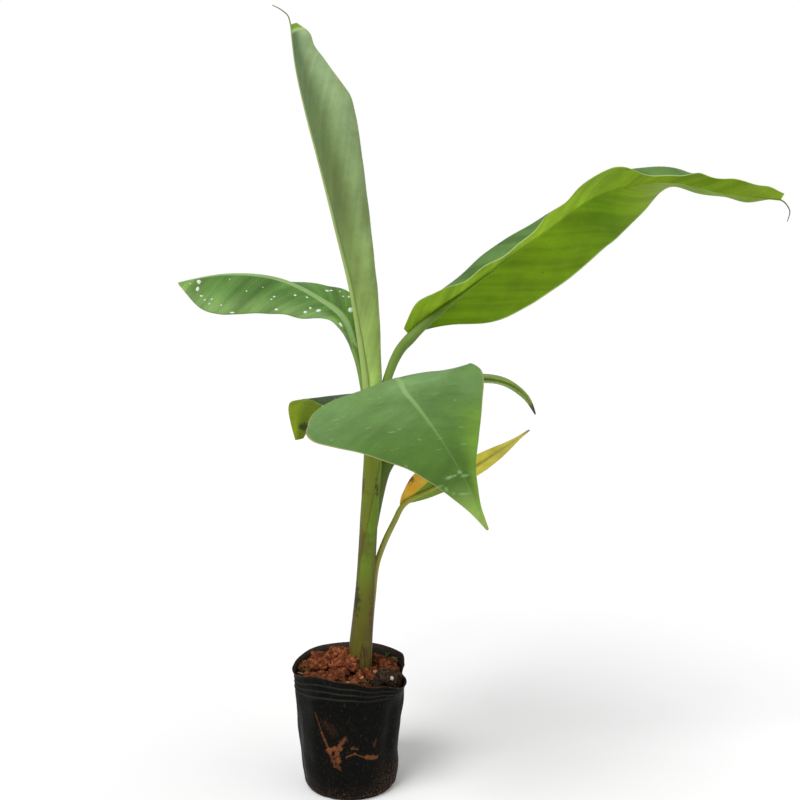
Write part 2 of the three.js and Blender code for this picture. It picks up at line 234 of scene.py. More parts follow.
def piece(name, vertices, faces, material, places=None, spans=None, slot=None, replaces=()):
    """A mesh piece from millimetres, smooth, with its place attributes, riding on the plant's one body."""
    mesh = bpy.data.meshes.new(name)
    vertices = (np.asarray(vertices, float) * MM).tolist()
    mesh.from_pydata(vertices, [], [tuple(int(i) for i in f) for f in faces])
    for label, values in (("place", places), ("span", spans)):
        if values is not None:
            attribute = mesh.attributes.new(label, "FLOAT_VECTOR", "POINT")
            attribute.data.foreach_set("vector", np.asarray(values, np.float32).ravel())
    mesh.polygons.foreach_set("use_smooth", [True] * len(mesh.polygons))
    mesh.materials.append(material)
    mesh.validate()
    mesh.update()
    made = new_object(name, mesh)
    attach(made, "root")
    if replaces:
        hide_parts(*replaces)
    return made


def grid_faces(rows, columns, first=0, closed=False, turned=False):
    """Quads over rows and columns of vertices; closed joins each row's last vertex to its first."""
    i, j = np.meshgrid(np.arange(rows - 1), np.arange(columns if closed else columns - 1), indexing="ij")
    k = (j + 1) % columns
    quads = np.stack([i * columns + j, (i + 1) * columns + j, (i + 1) * columns + k, i * columns + k], -1)
    quads = quads.reshape(-1, 4) + first
    return quads[:, ::-1] if turned else quads


def capped_faces(rows, count):
    """Faces of a closed tube whose last two vertices are the middles of its first and last rings."""
    hub, last = rows * count, (rows - 1) * count
    faces = [tuple(f) for f in grid_faces(rows, count, closed=True, turned=True)]
    faces += [(hub, (j + 1) % count, j) for j in range(count)]
    return faces + [(hub + 1, last + j, last + (j + 1) % count) for j in range(count)]


def tube(centres, sides, ups, radii, count=TUBE_SIDES, channel=0.0):
    """A closed tube round the centres. channel is the depth of a groove on its upper side."""
    turns = ring_turns(count)
    groove = 1 - channel * np.exp(-((np.angle(np.exp(1j * (turns - np.pi / 2))) / 0.55) ** 2))
    ring = np.cos(turns)[None, :, None] * sides[:, None] + np.sin(turns)[None, :, None] * ups[:, None]
    skin = centres[:, None] + ring * (radii[:, None] * groove[None, :])[..., None]
    vertices = np.concatenate([skin.reshape(-1, 3), centres[:1], centres[-1:]])
    return vertices, capped_faces(len(centres), count)


def frames_along(points, heading, roll):
    """Tangent, side and up of a leaf's line. The side stays level but for the roll, in degrees."""
    ahead = unit(np.gradient(points, axis=0))
    way = np.radians(heading)
    level = np.array([-math.sin(way), math.cos(way), 0.0])
    side = unit(level - (ahead @ level)[:, None] * ahead)
    up = np.cross(ahead, side)
    turn = np.radians(roll)[:, None]
    return ahead, side * np.cos(turn) + up * np.sin(turn), up * np.cos(turn) - side * np.sin(turn)


def heading_of(leaf):
    """The way that a leaf points, in degrees, seen from above."""
    (x0, y0, _), (x1, y1, _) = leaf["rib"][0], leaf["rib"][-1]
    return leaf.get("heading", math.degrees(math.atan2(y1 - y0, x1 - x0)))


def whole_line(leaf):
    """The leaf's line with its stalk, and how many of its points lead up to the rib."""
    lead = len(leaf["stalk"]) if len(leaf["stalk"]) > 1 else 0
    return leaf["stalk"][:lead] + leaf["rib"], lead


def blade_surface(leaf, rows, cells):
    """Points and normals over a blade, from its right margin over the rib to its left margin."""
    wing = leaf.get("wing", 0.0)
    run = np.linspace(-wing, 1, rows)
    t, thin = np.maximum(run, 0), smooth(-wing - 1e-6, 0, run) ** 0.8
    line, lead = whole_line(leaf)
    centre = flowing(line, lead + run * (len(leaf["rib"]) - 1))
    ahead, side, up = frames_along(centre, heading_of(leaf), along(leaf.get("roll", FLAT), t))
    reach = np.concatenate([[0], np.cumsum(np.linalg.norm(np.diff(centre, axis=0), axis=1))])
    shares = (np.arange(cells + 1) / cells) ** CELL_GROWTH
    halves = {}
    for key, sign in (("left", 1), ("right", -1)):
        half = leaf[key]
        width = np.maximum(along(half["widths"], t) * thin, 0.4)
        bends = (along(half.get(bend, FLAT), t) for bend in ("lift", "curl", "hook", "sweep"))
        lift, curl, hook, sweep = bends
        points, normals = [centre], [up]
        for low, high in zip(shares[:-1], shares[1:], strict=True):
            mid = (low + high) / 2
            bent = lift + curl * mid ** leaf.get("power", 2) + hook * smooth(0.35, 0.8, mid)
            angle = np.radians(bent)[:, None]
            out = sign * side * np.cos(angle) + up * np.sin(angle) + sweep[:, None] * ahead
            points.append(points[-1] + out * (width * (high - low))[:, None])
            normals.append(up * np.cos(angle) - sign * side * np.sin(angle))
        across = sign * shares[None, :] * width[:, None]
        halves[key] = np.stack(points, 1), np.stack(normals, 1), across, sign * np.tile(shares, (rows, 1))
    points, normals, across, share = (np.concatenate([right[:, :0:-1], left], 1)
                                      for right, left in zip(halves["right"], halves["left"], strict=True))
    return points, normals, across, share, np.tile(t[:, None], (1, share.shape[1])), reach


def add_blade(name, leaf, material, rows=240, cells=26, ripple=(1.0, 1.0), ruffle=1.0, seed=0.0):
    """A blade's fine mesh: a thin sheet with lifted side veins and rippled margins, left and right."""
    points, normals, across, share, t, reach = blade_surface(leaf, rows, cells)
    run = np.tile(reach[:, None], (1, share.shape[1]))
    ribs = np.maximum(along(leaf["rib_radii"], t[:, 0]), 0.5)[:, None]
    vein = (run - leaf.get("slant", VEIN_SLANT) * np.abs(across)) / VEIN_SPACING
    swell = VEIN_LIFT * np.cos(2 * np.pi * vein) * smooth(0.03, 0.2, np.abs(share)) * smooth(0, 0.05, 1 - t)
    edge = np.abs(share) ** 3 * smooth(0, 0.08, t) * smooth(0, 0.08, 1 - t)
    waves = np.sin(run / LONG_WAVE + seed + 1.7 * np.sign(across))
    waves += 0.6 * np.sin(run / SHORT_WAVE + 2 * seed)
    slow = wavy(points.reshape(-1, 3), RUFFLE_SIZE, seed).reshape(share.shape)
    wave = np.where(share > 0, ripple[0], ripple[1])
    height = swell + wave * edge * waves * WAVE_HEIGHT + ruffle * slow * smooth(0.1, 0.8, np.abs(share))
    points = points + normals * height[..., None]
    SURFACES[name] = points, normals, t[:, 0], share[0]
    sheet = BLADE_SHEET * (1 - 0.5 * np.abs(share) ** 4)[..., None] / 2
    rows, columns = share.shape
    vertices = np.concatenate([points + normals * sheet, points - normals * sheet]).reshape(-1, 3)
    under = rows * columns
    faces = [*grid_faces(rows, columns), *grid_faces(rows, columns, under, turned=True)]
    grid = np.arange(under).reshape(rows, columns)
    for rim in (grid[:, 0], grid[::-1, -1], grid[0, ::-1], grid[-1]):
        faces += [(a, under + a, under + b, b) for a, b in zip(rim[:-1], rim[1:], strict=True)]
    places, spans = [], []
    for face in (1, -1):
        places.append(np.stack([t, share, np.full(t.shape, face)], -1).reshape(-1, 3))
        spans.append(np.stack([run * MM, across * MM, np.abs(across) / ribs], -1).reshape(-1, 3))
    return piece(f"blade_{name}", vertices, faces, material, np.concatenate(places), np.concatenate(spans),
                 SLOTS[name], [f"blade_{name}", *leaf.get("also_replaces", [])])


def add_flecks(title, leaf_name, spots, material, face, slot):
    """Small raised flecks on a blade: share along, share across, length, width, and turn from the rib."""
    points, normals, ts, shares = SURFACES[leaf_name]
    turns = ring_turns(FLECK_SIDES)
    made = []
    for k, (t, share, long, wide, turn) in enumerate(spots):
        i = int(np.clip(np.argmin(np.abs(ts - t)), 1, len(ts) - 2))
        j = int(np.clip(np.argmin(np.abs(shares - share)), 1, len(shares) - 2))
        up = unit(normals[i, j]) * face
        ahead = unit(points[i + 1, j] - points[i - 1, j])
        side = np.cross(up, ahead)
        sine, cosine = math.sin(math.radians(turn)), math.cos(math.radians(turn))
        ahead, side = ahead * cosine + side * sine, side * cosine - ahead * sine
        reach = 0.5 * (1 + 0.35 * ring_noise(turns, 1.3, 3.7 * k))
        rim = np.outer(long * reach * np.cos(turns), ahead) + np.outer(wide * reach * np.sin(turns), side)
        middle, skin = points[i, j], BLADE_SHEET / 2
        low, high = middle + rim - up * 0.2, middle + rim * 0.9 + up * (skin + 0.08)
        vertices = np.concatenate([low, high, [middle - up * 0.25, middle + up * (skin + 0.3)]])
        faces = capped_faces(2, FLECK_SIDES)
        made.append((vertices, [f[::-1] for f in faces] if face < 0 else faces))
    return piece(title, *joined(made), material, slot=slot)


def add_stalk(name, leaf, material):
    """The leaf stalk and the midrib that it runs on into, one tapering grooved tube with the tip's tail."""
    line, lead = whole_line(leaf)
    radii = leaf["stalk_radii"][:lead] + leaf["rib_radii"]
    u = np.linspace(0, 1, STALK_ROWS)
    centres, radius = flowing(line, u * (len(line) - 1)), np.maximum(along(radii, u), 0.3)
    blade_t = np.clip((u * (len(line) - 1) - lead) / (len(leaf["rib"]) - 1), 0, 1)
    joint = lead / (len(line) - 1)
    roll = along(leaf.get("roll", FLAT), blade_t) * (smooth(0.3 * joint, joint, u) if lead else 1)
    _, side, up = frames_along(centres, heading_of(leaf), roll)
    sunk = STALK_DROP * (smooth(0.25 * joint, joint + 0.06, u) if lead else 1)
    squash = along(leaf.get("squash", [1, 1]), u)[:, None]
    centres = centres - up * (radius * sunk * smooth(0.3, 1.2, radius))[:, None]
    if leaf.get("tail"):
        tail = along([tuple(centres[-1])] + leaf["tail"], np.linspace(0, 1, TAIL_ROWS)[1:])
        centres = np.concatenate([centres, tail])
        radius = np.concatenate([radius, np.linspace(radius[-1], 0.4, len(tail))])
        side = np.concatenate([side, np.tile(side[-1:], (len(tail), 1))])
        ahead = unit(np.gradient(centres, axis=0))
        side = unit(side - np.sum(side * ahead, 1)[:, None] * ahead)
        up = np.cross(ahead, side)
        squash = np.ones((len(centres), 1))
    vertices, faces = tube(centres, side * squash, up, radius, channel=STALK_GROOVE)
    share = np.linspace(0, 1, len(centres))
    places = np.concatenate([np.repeat(share, TUBE_SIDES), [0, 1]])
    places = np.stack([places, np.zeros(len(places)), np.ones(len(places))], -1)
    slot = "petiole_yellow" if name == "yellow" else "petiole_green"
    return piece(f"stalk_{name}", vertices, faces, material, places, None, slot, [f"petiole_{name}"])


# ---- shader helpers ----
def linear(red, green, blue):
    """A colour given in 0 to 255 display values, as Blender's linear colour."""
    def one(v):
        v /= 255
        return v / 12.92 if v <= 0.04045 else ((v + 0.055) / 1.055) ** 2.4

    return one(red), one(green), one(blue), 1.0


class Tree:
    """Short calls that add nodes to a material or a group. A colour is three display values from 0 to 255."""

    def __init__(self, tree):
        self.tree = tree

    def put(self, value, socket):
        """Links another node's output to a socket, or sets the socket to a plain value."""
        if isinstance(value, bpy.types.NodeSocket):
            self.tree.links.new(value, socket)
        else:
            socket.default_value = value

    def add(self, kind, inputs=None, **settings):
        made = self.tree.nodes.new(kind)
        for key, value in settings.items():
            setattr(made, key, value)
        for key, value in (inputs or {}).items():
            self.put(value, made.inputs[key])
        return made

    def math(self, operation, a, b=0.0, clamp=False):
        return self.add("ShaderNodeMath", {0: a, 1: b}, operation=operation, use_clamp=clamp).outputs[0]

    def times(self, first, *others):
        for other in others:
            first = self.math("MULTIPLY", first, other)
        return first

    def plus(self, first, *others):
        for other in others:
            first = self.math("ADD", first, other)
        return first

    def minus(self, a, b):
        return self.math("SUBTRACT", a, b)

    def size(self, value):
        return self.math("ABSOLUTE", value)

    def vector(self, operation, a, b=(0.0, 0.0, 0.0)):
        return self.add("ShaderNodeVectorMath", {0: a, 1: b}, operation=operation).outputs

    def remap(self, value, low, high, to_low=0.0, to_high=1.0, kind="LINEAR"):
        inputs = {"Value": value, "From Min": low, "From Max": high, "To Min": to_low, "To Max": to_high}
        return self.add("ShaderNodeMapRange", inputs, interpolation_type=kind).outputs["Result"]

    def fade(self, value, low, high, to_low=0.0, to_high=1.0):
        """A remap that eases in and out."""
        return self.remap(value, low, high, to_low, to_high, "SMOOTHSTEP")

    def mix(self, factor, a, b, blend="MIX"):
        """Two colours mixed. A tuple holds display values, and anything else goes in as it is."""
        a, b = (linear(*v) if isinstance(v, tuple) else v for v in (a, b))
        made = self.add("ShaderNodeMix", {0: factor, 6: a, 7: b}, data_type="RGBA", blend_type=blend)
        return made.outputs[2]

    def paint(self, colour, tone, *masks):
        """The colour with a tone laid over it where all the masks are high."""
        return self.mix(self.times(*masks), colour, tone)

    def tint(self, colour, mask, low, high):
        """The colour made darker or lighter where the mask is low or high."""
        shade = self.remap(mask, 0.0, 1.0, low, high)
        grey = self.add("ShaderNodeCombineColor", {0: shade, 1: shade, 2: shade}).outputs[0]
        return self.mix(1.0, colour, grey, "MULTIPLY")

    def split(self, vector):
        return self.add("ShaderNodeSeparateXYZ", {0: vector}).outputs

    def noise(self, vector, scale, detail=3.0, roughness=0.55):
        inputs = {"Vector": vector, "Scale": scale, "Detail": detail, "Roughness": roughness}
        return self.add("ShaderNodeTexNoise", inputs).outputs["Fac"]

    def streaks(self, vector, upright, scale, detail, roughness=0.55):
        """Noise drawn out along Z."""
        drawn = self.add("ShaderNodeMapping", {"Vector": vector, "Scale": (1.0, 1.0, upright)}).outputs[0]
        return self.noise(drawn, scale, detail, roughness)

    def ramp(self, value, stops):
        """A colour ramp. Each stop is its position and the colour's three display values."""
        made = self.add("ShaderNodeValToRGB", {"Fac": value})
        elements = made.color_ramp.elements
        while len(elements) < len(stops):
            elements.new(0.5)
        for element, (position, *colour) in zip(elements, stops, strict=True):
            element.position, element.color = position, linear(*colour)
        return made.outputs["Color"]

    def attribute(self, name):
        return self.add("ShaderNodeAttribute", attribute_name=name).outputs["Vector"]

    def use(self, group, inputs):
        return self.add("ShaderNodeGroup", inputs, node_tree=group).outputs


def new_group(name, inputs, outputs):
    """A node group from its sockets' names and kinds: the group, its Tree, what comes in and goes out."""
    tree = bpy.data.node_groups.new(name, "ShaderNodeTree")
    for way, sockets in (("INPUT", inputs), ("OUTPUT", outputs)):
        for label, kind in sockets.items():
            tree.interface.new_socket(label, in_out=way, socket_type=f"NodeSocket{kind}")
    t = Tree(tree)
    return tree, t, t.add("NodeGroupInput").outputs, t.add("NodeGroupOutput").inputs


def mottle_group():
    """Soft patches at two sizes, from 0 to 1."""
    tree, t, given, out = new_group("soft mottle", {"Coordinates": "Vector", "Scale": "Float"},
                                    {"Patches": "Float", "Grain": "Float"})
    large = t.noise(given["Coordinates"], given["Scale"], 3)
    fine = t.noise(given["Coordinates"], t.times(given["Scale"], 9.0), 4, 0.65)
    t.put(t.fade(large, 0.3, 0.7), out["Patches"])
    t.put(t.remap(fine, 0.3, 0.7), out["Grain"])
    return tree


def vein_group():
    """Side veins that leave the rib forward and outward, with finer lines between them."""
    tree, t, given, out = new_group(
        "side veins", {"Span": "Vector", "Spacing": "Float", "Slant": "Float"},
        dict.fromkeys(("Line", "Fine", "Pleats", "Height"), "Float"))
    run, across, _ = t.split(given["Span"])
    wander = t.times(t.minus(t.noise(given["Span"], 26.0, 2), 0.5), 0.006)
    lead = t.times(t.size(across), given["Slant"])
    place = t.math("DIVIDE", t.plus(t.minus(run, lead), wander), given["Spacing"])

    def comb(count, sharp):
        saw = t.math("FRACT", t.times(place, count))
        return t.math("POWER", t.size(t.minus(t.times(saw, 2.0), 1.0)), sharp)

    line, fine = comb(1.0, 5.0), comb(5.0, 2.0)
    broad = t.add("ShaderNodeCombineXYZ", {0: t.times(place, 0.3), 1: t.times(across, 9.0)}).outputs[0]
    t.put(t.fade(t.noise(broad, 1.0, 2), 0.35, 0.65), out["Pleats"])
    t.put(line, out["Line"])
    t.put(fine, out["Fine"])
    t.put(t.plus(line, t.times(fine, 0.25)), out["Height"])
    return tree


def region_group():
    """Masks of a blade's upper face, its midrib, its margins and its tip."""
    tree, t, given, out = new_group(
        "blade regions",
        {"Place": "Vector", "Ribs Out": "Float", "Margin Width": "Float", "Tip Start": "Float"},
        dict.fromkeys(("Upper", "Rib", "Margin", "Tip", "Along", "Across"), "Float"))
    run, across, face = t.split(given["Place"])
    share = t.size(across)
    uneven = t.minus(t.noise(given["Place"], 11.0, 3), 0.5)
    near = t.plus(run, t.plus(t.times(uneven, 0.08), t.times(share, 0.04)))
    t.put(t.remap(face, -0.2, 0.2), out["Upper"])
    t.put(t.fade(given["Ribs Out"], 1.05, 0.35), out["Rib"])
    t.put(t.fade(share, t.minus(1.0, given["Margin Width"]), 1.0), out["Margin"])
    t.put(t.fade(near, given["Tip Start"], t.plus(given["Tip Start"], 0.05)), out["Tip"])
    t.put(run, out["Along"])
    t.put(across, out["Across"])
    return tree


def smear_group():
    """A ragged smear: 1 inside a ball of the given size round its centre, worn away by noise."""
    tree, t, given, out = new_group(
        "ragged smear", {"Coordinates": "Vector", "Centre": "Vector", "Size": "Vector", "Break": "Float"},
        {"Mask": "Float"})
    away = t.vector("SUBTRACT", given["Coordinates"], given["Centre"])[0]
    length = t.vector("LENGTH", t.vector("DIVIDE", away, given["Size"])[0])["Value"]
    wear = t.minus(t.remap(t.noise(given["Coordinates"], 260.0, 5, 0.7), 0.32, 0.68), 0.5)
    worn = t.plus(length, t.times(wear, given["Break"]))
    t.put(t.fade(worn, 1.15, 0.45), out["Mask"])
    return tree


def streak_group():
    """A ragged streak between two points, seen from the front: 1 on its line, worn away to its edges."""
    tree, t, given, out = new_group(
        "ragged streak",
        {"Coordinates": "Vector", "Start": "Vector", "End": "Vector", "Width": "Float", "Break": "Float"},
        {"Mask": "Float"})

    def flat_step(start, end):
        step = t.vector("SUBTRACT", given[end], given[start])[0]
        return t.vector("MULTIPLY", step, (1.0, 0.0, 1.0))[0]

    reach, whole = flat_step("Start", "Coordinates"), flat_step("Start", "End")
    share = t.math("DIVIDE", t.vector("DOT_PRODUCT", reach, whole)["Value"],
                   t.vector("DOT_PRODUCT", whole, whole)["Value"], clamp=True)
    foot = t.add("ShaderNodeVectorMath", {0: whole, "Scale": share}, operation="SCALE").outputs[0]
    away = t.vector("LENGTH", t.vector("SUBTRACT", reach, foot)[0])["Value"]
    wear = t.minus(t.remap(t.noise(given["Coordinates"], 300.0, 6, 0.8), 0.3, 0.7), 0.5)
    worn = t.plus(t.math("DIVIDE", away, given["Width"]), t.times(wear, given["Break"]))
    front = t.remap(t.split(given["Coordinates"])[1], -0.012, -0.024)
    t.put(t.times(t.fade(worn, 1.1, 0.5), front), out["Mask"])
    return tree


MOTTLE, VEINS, REGIONS = mottle_group(), vein_group(), region_group()
SMEAR, STREAK = smear_group(), streak_group()


def new_material(name):
    """An empty material, its Tree, its shader and the place of each spot on the piece."""
    made = bpy.data.materials.new(name)
    made.use_nodes = True
    made.node_tree.nodes.clear()
    t = Tree(made.node_tree)
    shader = t.add("ShaderNodeBsdfPrincipled")
    t.put(shader.outputs[0], t.add("ShaderNodeOutputMaterial").inputs[0])
    return made, t, shader, t.add("ShaderNodeTexCoord").outputs["Object"]


def mottled(t, spot, scale):
    return t.use(MOTTLE, {"Coordinates": spot, "Scale": scale})


def smear(t, spot, centre, size, ragged):
    """The mask of one ragged smear, with its centre and size in millimetres."""
    return t.use(SMEAR, {"Coordinates": spot, "Centre": tuple(v * MM for v in centre),
                         "Size": tuple(v * MM for v in size), "Break": ragged})["Mask"]


def finish(t, shader, colour, roughness, height=None, strength=0.3, distance=0.0006, shine=0.5):
    """Connects the shader. height is what the bump follows, and shine the strength of plain reflections."""
    t.put(colour, shader.inputs["Base Color"])
    t.put(roughness, shader.inputs["Roughness"])
    shader.inputs["Specular IOR Level"].default_value = shine
    if height is not None:
        bump = t.add("ShaderNodeBump", {"Height": height, "Strength": strength, "Distance": distance})
        t.put(bump.outputs[0], shader.inputs["Normal"])


# ---- leaf tissue ----
WHITE_SPOTS = [  # on the left leaf: share along, share across, length, width, turn
    (0.92, 0.14, 4.8, 4.3, 20), (0.924, 0.4, 4.8, 4.1, 60), (0.913, 0.6, 3.1, 2.5, 10),
    (0.899, 0.68, 2.5, 1.7, 40), (0.871, 0.62, 2.8, 1.4, 50), (0.876, 0.78, 2.5, 1.7, 0),
    (0.826, 0.78, 2.2, 1.6, 30), (0.775, 0.94, 5.0, 1.9, 0), (0.596, 0.51, 2.8, 1.9, 20),
    (0.559, 0.88, 4.2, 2.2, 0), (0.5, 0.29, 3.1, 2.2, 30), (0.441, 0.19, 3.1, 1.4, 0),
    (0.411, 0.7, 4.2, 2.9, 20), (0.399, 0.49, 3.1, 2.6, 0), (0.349, 0.55, 5.3, 3.2, 20),
    (0.388, -0.62, 4.8, 3.9, 0), (0.366, -0.72, 3.6, 2.9, 30), (0.262, -0.82, 2.8, 2.9, 10),
    (0.208, -0.51, 5.6, 6.0, 0), (0.161, 0.58, 6.2, 2.6, 0), (0.955, 0.21, 1.7, 1.4, 0),
    (0.722, 0.42, 1.8, 1.6, 0), (0.8, 0.12, 1.4, 1.3, 0), (0.607, 0.6, 2.8, 1.3, 0),
    (0.66, 0.3, 1.3, 1.2, 0), (0.29, -0.66, 1.8, 2.0, 0), (0.32, -0.8, 2.1, 2.0, 0),
]
DARK_SPECKS = [(0.308, 0.6, 1.6, 1.2, 30), (0.51, 0.42, 1.2, 0.9, 80)]  # the same, on the right leaf
SCRATCHES = [  # on the front leaf: run along the rib, distance from it, half length, half width and strength
    (213, -11, 1.8, 4.0, 0.7), (211, -1, 2.4, 2.0, 0.65), (216, 2, 1.8, 4.0, 0.6),
    (213, -6, 1.0, 2.2, 0.6), (219, -22, 1.4, 3.0, 0.45), (224, -18, 2.8, 1.4, 0.5),
    (230, -14, 1.8, 1.6, 0.35), (64, -65, 2.6, 2.0, 0.3), (107, -51, 1.8, 3.4, 0.35),
    (51, -25, 2.2, 1.6, 0.3), (106, -86, 2.6, 2.0, 0.35), (109, 33, 2.6, 1.6, 0.3),
    (86, 21, 1.2, 4.0, 0.35), (127, -27, 2.2, 1.8, 0.3), (154, -17, 1.6, 1.6, 0.4),
    (185, -40, 2.0, 1.4, 0.35),
]
DRY_SPOTS = [((60.5, 0, 328), (8, 20, 7.5)), ((54, 0, 318), (3, 20, 4)), ((150, 8, 336), (2.2, 20, 2))]
THROUGH = 1e6  # a smear's size in a direction that it runs right through


def rolled_shade_and_sheen(t, colour, regions, spot):
    """Painted shade on the rolled leaf's side near its rib, a painted sheen towards its turned edge, olive
    clouds and a fresh lip.
    """
    along_it, across = regions["Along"], regions["Across"]
    # Painted shade: a deeper tone on the side near the rib, standing for the roll's shading.
    deep = t.mix(t.remap(along_it, 0.6, 0.9), (88, 106, 56), (82, 106, 72))
    colour = t.paint(colour, deep, t.fade(across, 0.8, 0.38), t.remap(along_it, 0.26, 0.55, 0.1, 0.75))
    # Painted sheen: a pale bluish tone towards the turned edge.
    colour = t.paint(colour, (146, 170, 124), t.fade(across, 0.4, 0.8), t.remap(along_it, 0.3, 0.7), 0.6)
    clouds = t.fade(t.noise(spot, 34.0, 3), 0.46, 0.72)
    colour = t.paint(colour, (104, 106, 58), clouds, t.remap(along_it, 0.18, 0.4, 0.3, 1.0), 0.35)
    end = t.remap(along_it, 0.968, 0.976)
    colour = t.paint(colour, (104, 146, 44), end)
    return t.paint(colour, (178, 190, 132), end, t.remap(along_it, 0.986, 0.978), 0.7)


def light_band(t, colour, regions, spot):
    """Light through the upper half of the sunlit leaf's underside, and a duller end."""
    under = t.minus(1.0, regions["Upper"])
    near, low = t.fade(regions["Across"], -0.04, -0.12), t.fade(regions["Along"], 0.75, 0.3)
    colour = t.paint(colour, (148, 182, 44), near, low, under, 0.85)
    return t.paint(colour, (90, 122, 20), under, t.remap(regions["Along"], 0.62, 0.72, 0, 0.25))


def pale_edge(t, colour, regions, spot):
    return t.paint(colour, (134, 168, 98), t.fade(regions["Across"], 0.35, 0.85), 0.6)


def sheen_and_scratches(t, colour, regions, spot):
    """A warm far half, a painted bluish sheen near the stalk, faint long streaks and pale scratches."""
    along_it, across = regions["Along"], regions["Across"]
    colour = t.paint(colour, (112, 148, 46), t.fade(across, 0.3, 0.9), t.fade(along_it, 0.3, 0.5), 0.5)
    # Painted sheen: pale bluish patches near the stalk.
    painted_sheen = t.fade(t.noise(spot, 14.0, 4), 0.42, 0.7)
    colour = t.paint(colour, (126, 164, 112), painted_sheen, t.remap(along_it, 0.6, 0.1),
                     t.remap(across, -0.8, 0.3, 0.4, 1.0), 0.5)
    squeezed = t.add("ShaderNodeMapping", {"Vector": spot, "Rotation": (0.0, 0.0, 0.9),
                                           "Scale": (60.0, 260.0, 60.0)}).outputs[0]
    colour = t.paint(colour, (156, 184, 136), t.remap(t.noise(squeezed, 1.0, 2), 0.66, 0.76), 0.3)
    span = t.attribute("span")
    for run, out, long, wide, strength in SCRATCHES:
        mark = smear(t, span, (run, out, 0), (long, wide, THROUGH), 1.6)
        colour = t.paint(colour, (160, 186, 144), mark, strength * 0.6)
    return colour


def dark_corner(t, colour, regions, spot):
    """Grey streaks on the upper face, a duller half beneath, and one dark corner."""
    streak = t.remap(t.noise(spot, 160.0, 4), 0.6, 0.7)
    streaked = t.paint(colour, (150, 156, 136), streak, regions["Upper"], 0.45)
    under = t.minus(1.0, regions["Upper"])
    colour = t.paint(streaked, (88, 112, 18), t.fade(regions["Across"], 0.3, -0.4), under, 0.7)
    return t.paint(colour, (44, 62, 26), smear(t, spot, (-55, 117, 359), (7, 30, 6), 0.8), 0.9)


def orange_base(t, colour, regions, spot):
    """The old leaf's amber edge by the stalk, the green that is left beside it, and dry brown spots."""
    edge = t.plus(regions["Across"], t.times(regions["Along"], 2.0))
    colour = t.paint(colour, (112, 138, 28), t.fade(regions["Along"], 0.55, 0.38), t.remap(edge, 0.08, 0.17))
    amber = t.mix(t.remap(t.noise(spot, 120.0, 3), 0.4, 0.65), (214, 154, 34), (208, 172, 56))
    colour = t.paint(colour, amber, t.fade(edge, 0.17, 0.08))
    for centre, size in DRY_SPOTS:
        colour = t.paint(colour, (74, 44, 24), smear(t, spot, centre, size, 0.9), 0.85)
    return colour


LEAF_TISSUES = {  # upper and under are the faces' colours from the stalk to the tip
    "spear": dict(
        title="spear leaf tissue",
        upper=[(0.0, 140, 168, 66), (0.5, 112, 144, 56), (1.0, 104, 140, 48)],
        under=[(0.0, 162, 192, 98), (0.3, 150, 178, 94), (0.58, 132, 156, 92), (0.85, 118, 142, 94),
               (1.0, 118, 146, 98)],
        rib=(160, 180, 110), margin=(160, 178, 108), vein=0.04, roughness=(0.45, 0.6), pleats=0.1,
        slant=2.2, extra=rolled_shade_and_sheen),
    "right": dict(
        title="sunlit leaf tissue",
        upper=[(0.0, 84, 116, 60), (0.7, 92, 124, 66), (1.0, 96, 130, 40)],
        # The under colours are made bright as painted light through the leaf.
        under=[(0.0, 102, 138, 14), (0.35, 112, 147, 16), (0.5, 98, 136, 10), (0.62, 128, 158, 22),
               (0.75, 114, 146, 20), (1.0, 134, 160, 36)],
        rib=(96, 128, 20), margin=(170, 194, 118), vein=0.06, margin_width=0.04, roughness=(0.4, 0.55),
        rib_shown=0.1, pleats=0.18, slant=1.2, shine=0.06, extra=light_band),
    "left": dict(
        title="spotted leaf tissue",
        upper=[(0.0, 82, 116, 36), (0.4, 86, 124, 56), (0.8, 90, 128, 62), (0.93, 106, 144, 74),
               (1.0, 124, 160, 80)],
        under=[(0.0, 105, 150, 60), (1.0, 110, 155, 60)],
        rib=(146, 178, 114), margin=(112, 142, 66), roughness=(0.3, 0.5), pleats=0.28, vein=0.16,
        slant=1.0, rib_shown=0.9, rib_end=0.6, extra=pale_edge),
    "front": dict(
        title="broad leaf tissue",
        upper=[(0.0, 112, 146, 84), (0.3, 91, 124, 64), (0.55, 78, 112, 46), (0.78, 64, 96, 30),
               (0.92, 112, 142, 58), (1.0, 134, 150, 72)],
        under=[(0.0, 112, 144, 46), (1.0, 120, 150, 48)],
        rib=(136, 168, 106), margin=(156, 152, 100), margin_width=0.025, roughness=(0.36, 0.5),
        rib_shown=0.8, rib_end=0.15, pleats=0.07, slant=0.8, extra=sheen_and_scratches),
    "low_right": dict(
        title="drooping leaf tissue",
        upper=[(0.0, 66, 98, 26), (0.5, 122, 154, 62), (1.0, 120, 130, 54)],
        under=[(0.0, 104, 130, 30), (0.5, 134, 160, 72), (1.0, 130, 150, 60)],
        rib=(112, 138, 58), margin=(112, 128, 58), tip=(52, 36, 26), tip_start=0.9),
    "back_left": dict(
        title="back leaf tissue",
        upper=[(0.0, 64, 90, 44), (0.6, 56, 80, 40), (1.0, 90, 112, 40)],
        under=[(0.0, 94, 120, 16), (0.7, 134, 158, 30), (0.86, 146, 168, 38), (1.0, 142, 158, 38)],
        rib=(114, 136, 34), margin=(132, 146, 48), rib_shown=0.4, shine=0.08, extra=dark_corner),
    "yellow": dict(
        title="yellowing leaf tissue",
        upper=[(0.0, 204, 196, 58), (0.6, 194, 186, 60), (1.0, 196, 184, 80)],
        under=[(0.0, 206, 198, 58), (0.6, 202, 194, 64), (1.0, 202, 190, 84)],
        rib=(180, 172, 74), margin=(160, 146, 56), tip=(150, 122, 74), tip_start=0.95, rib_shown=0.5,
        extra=orange_base),
}


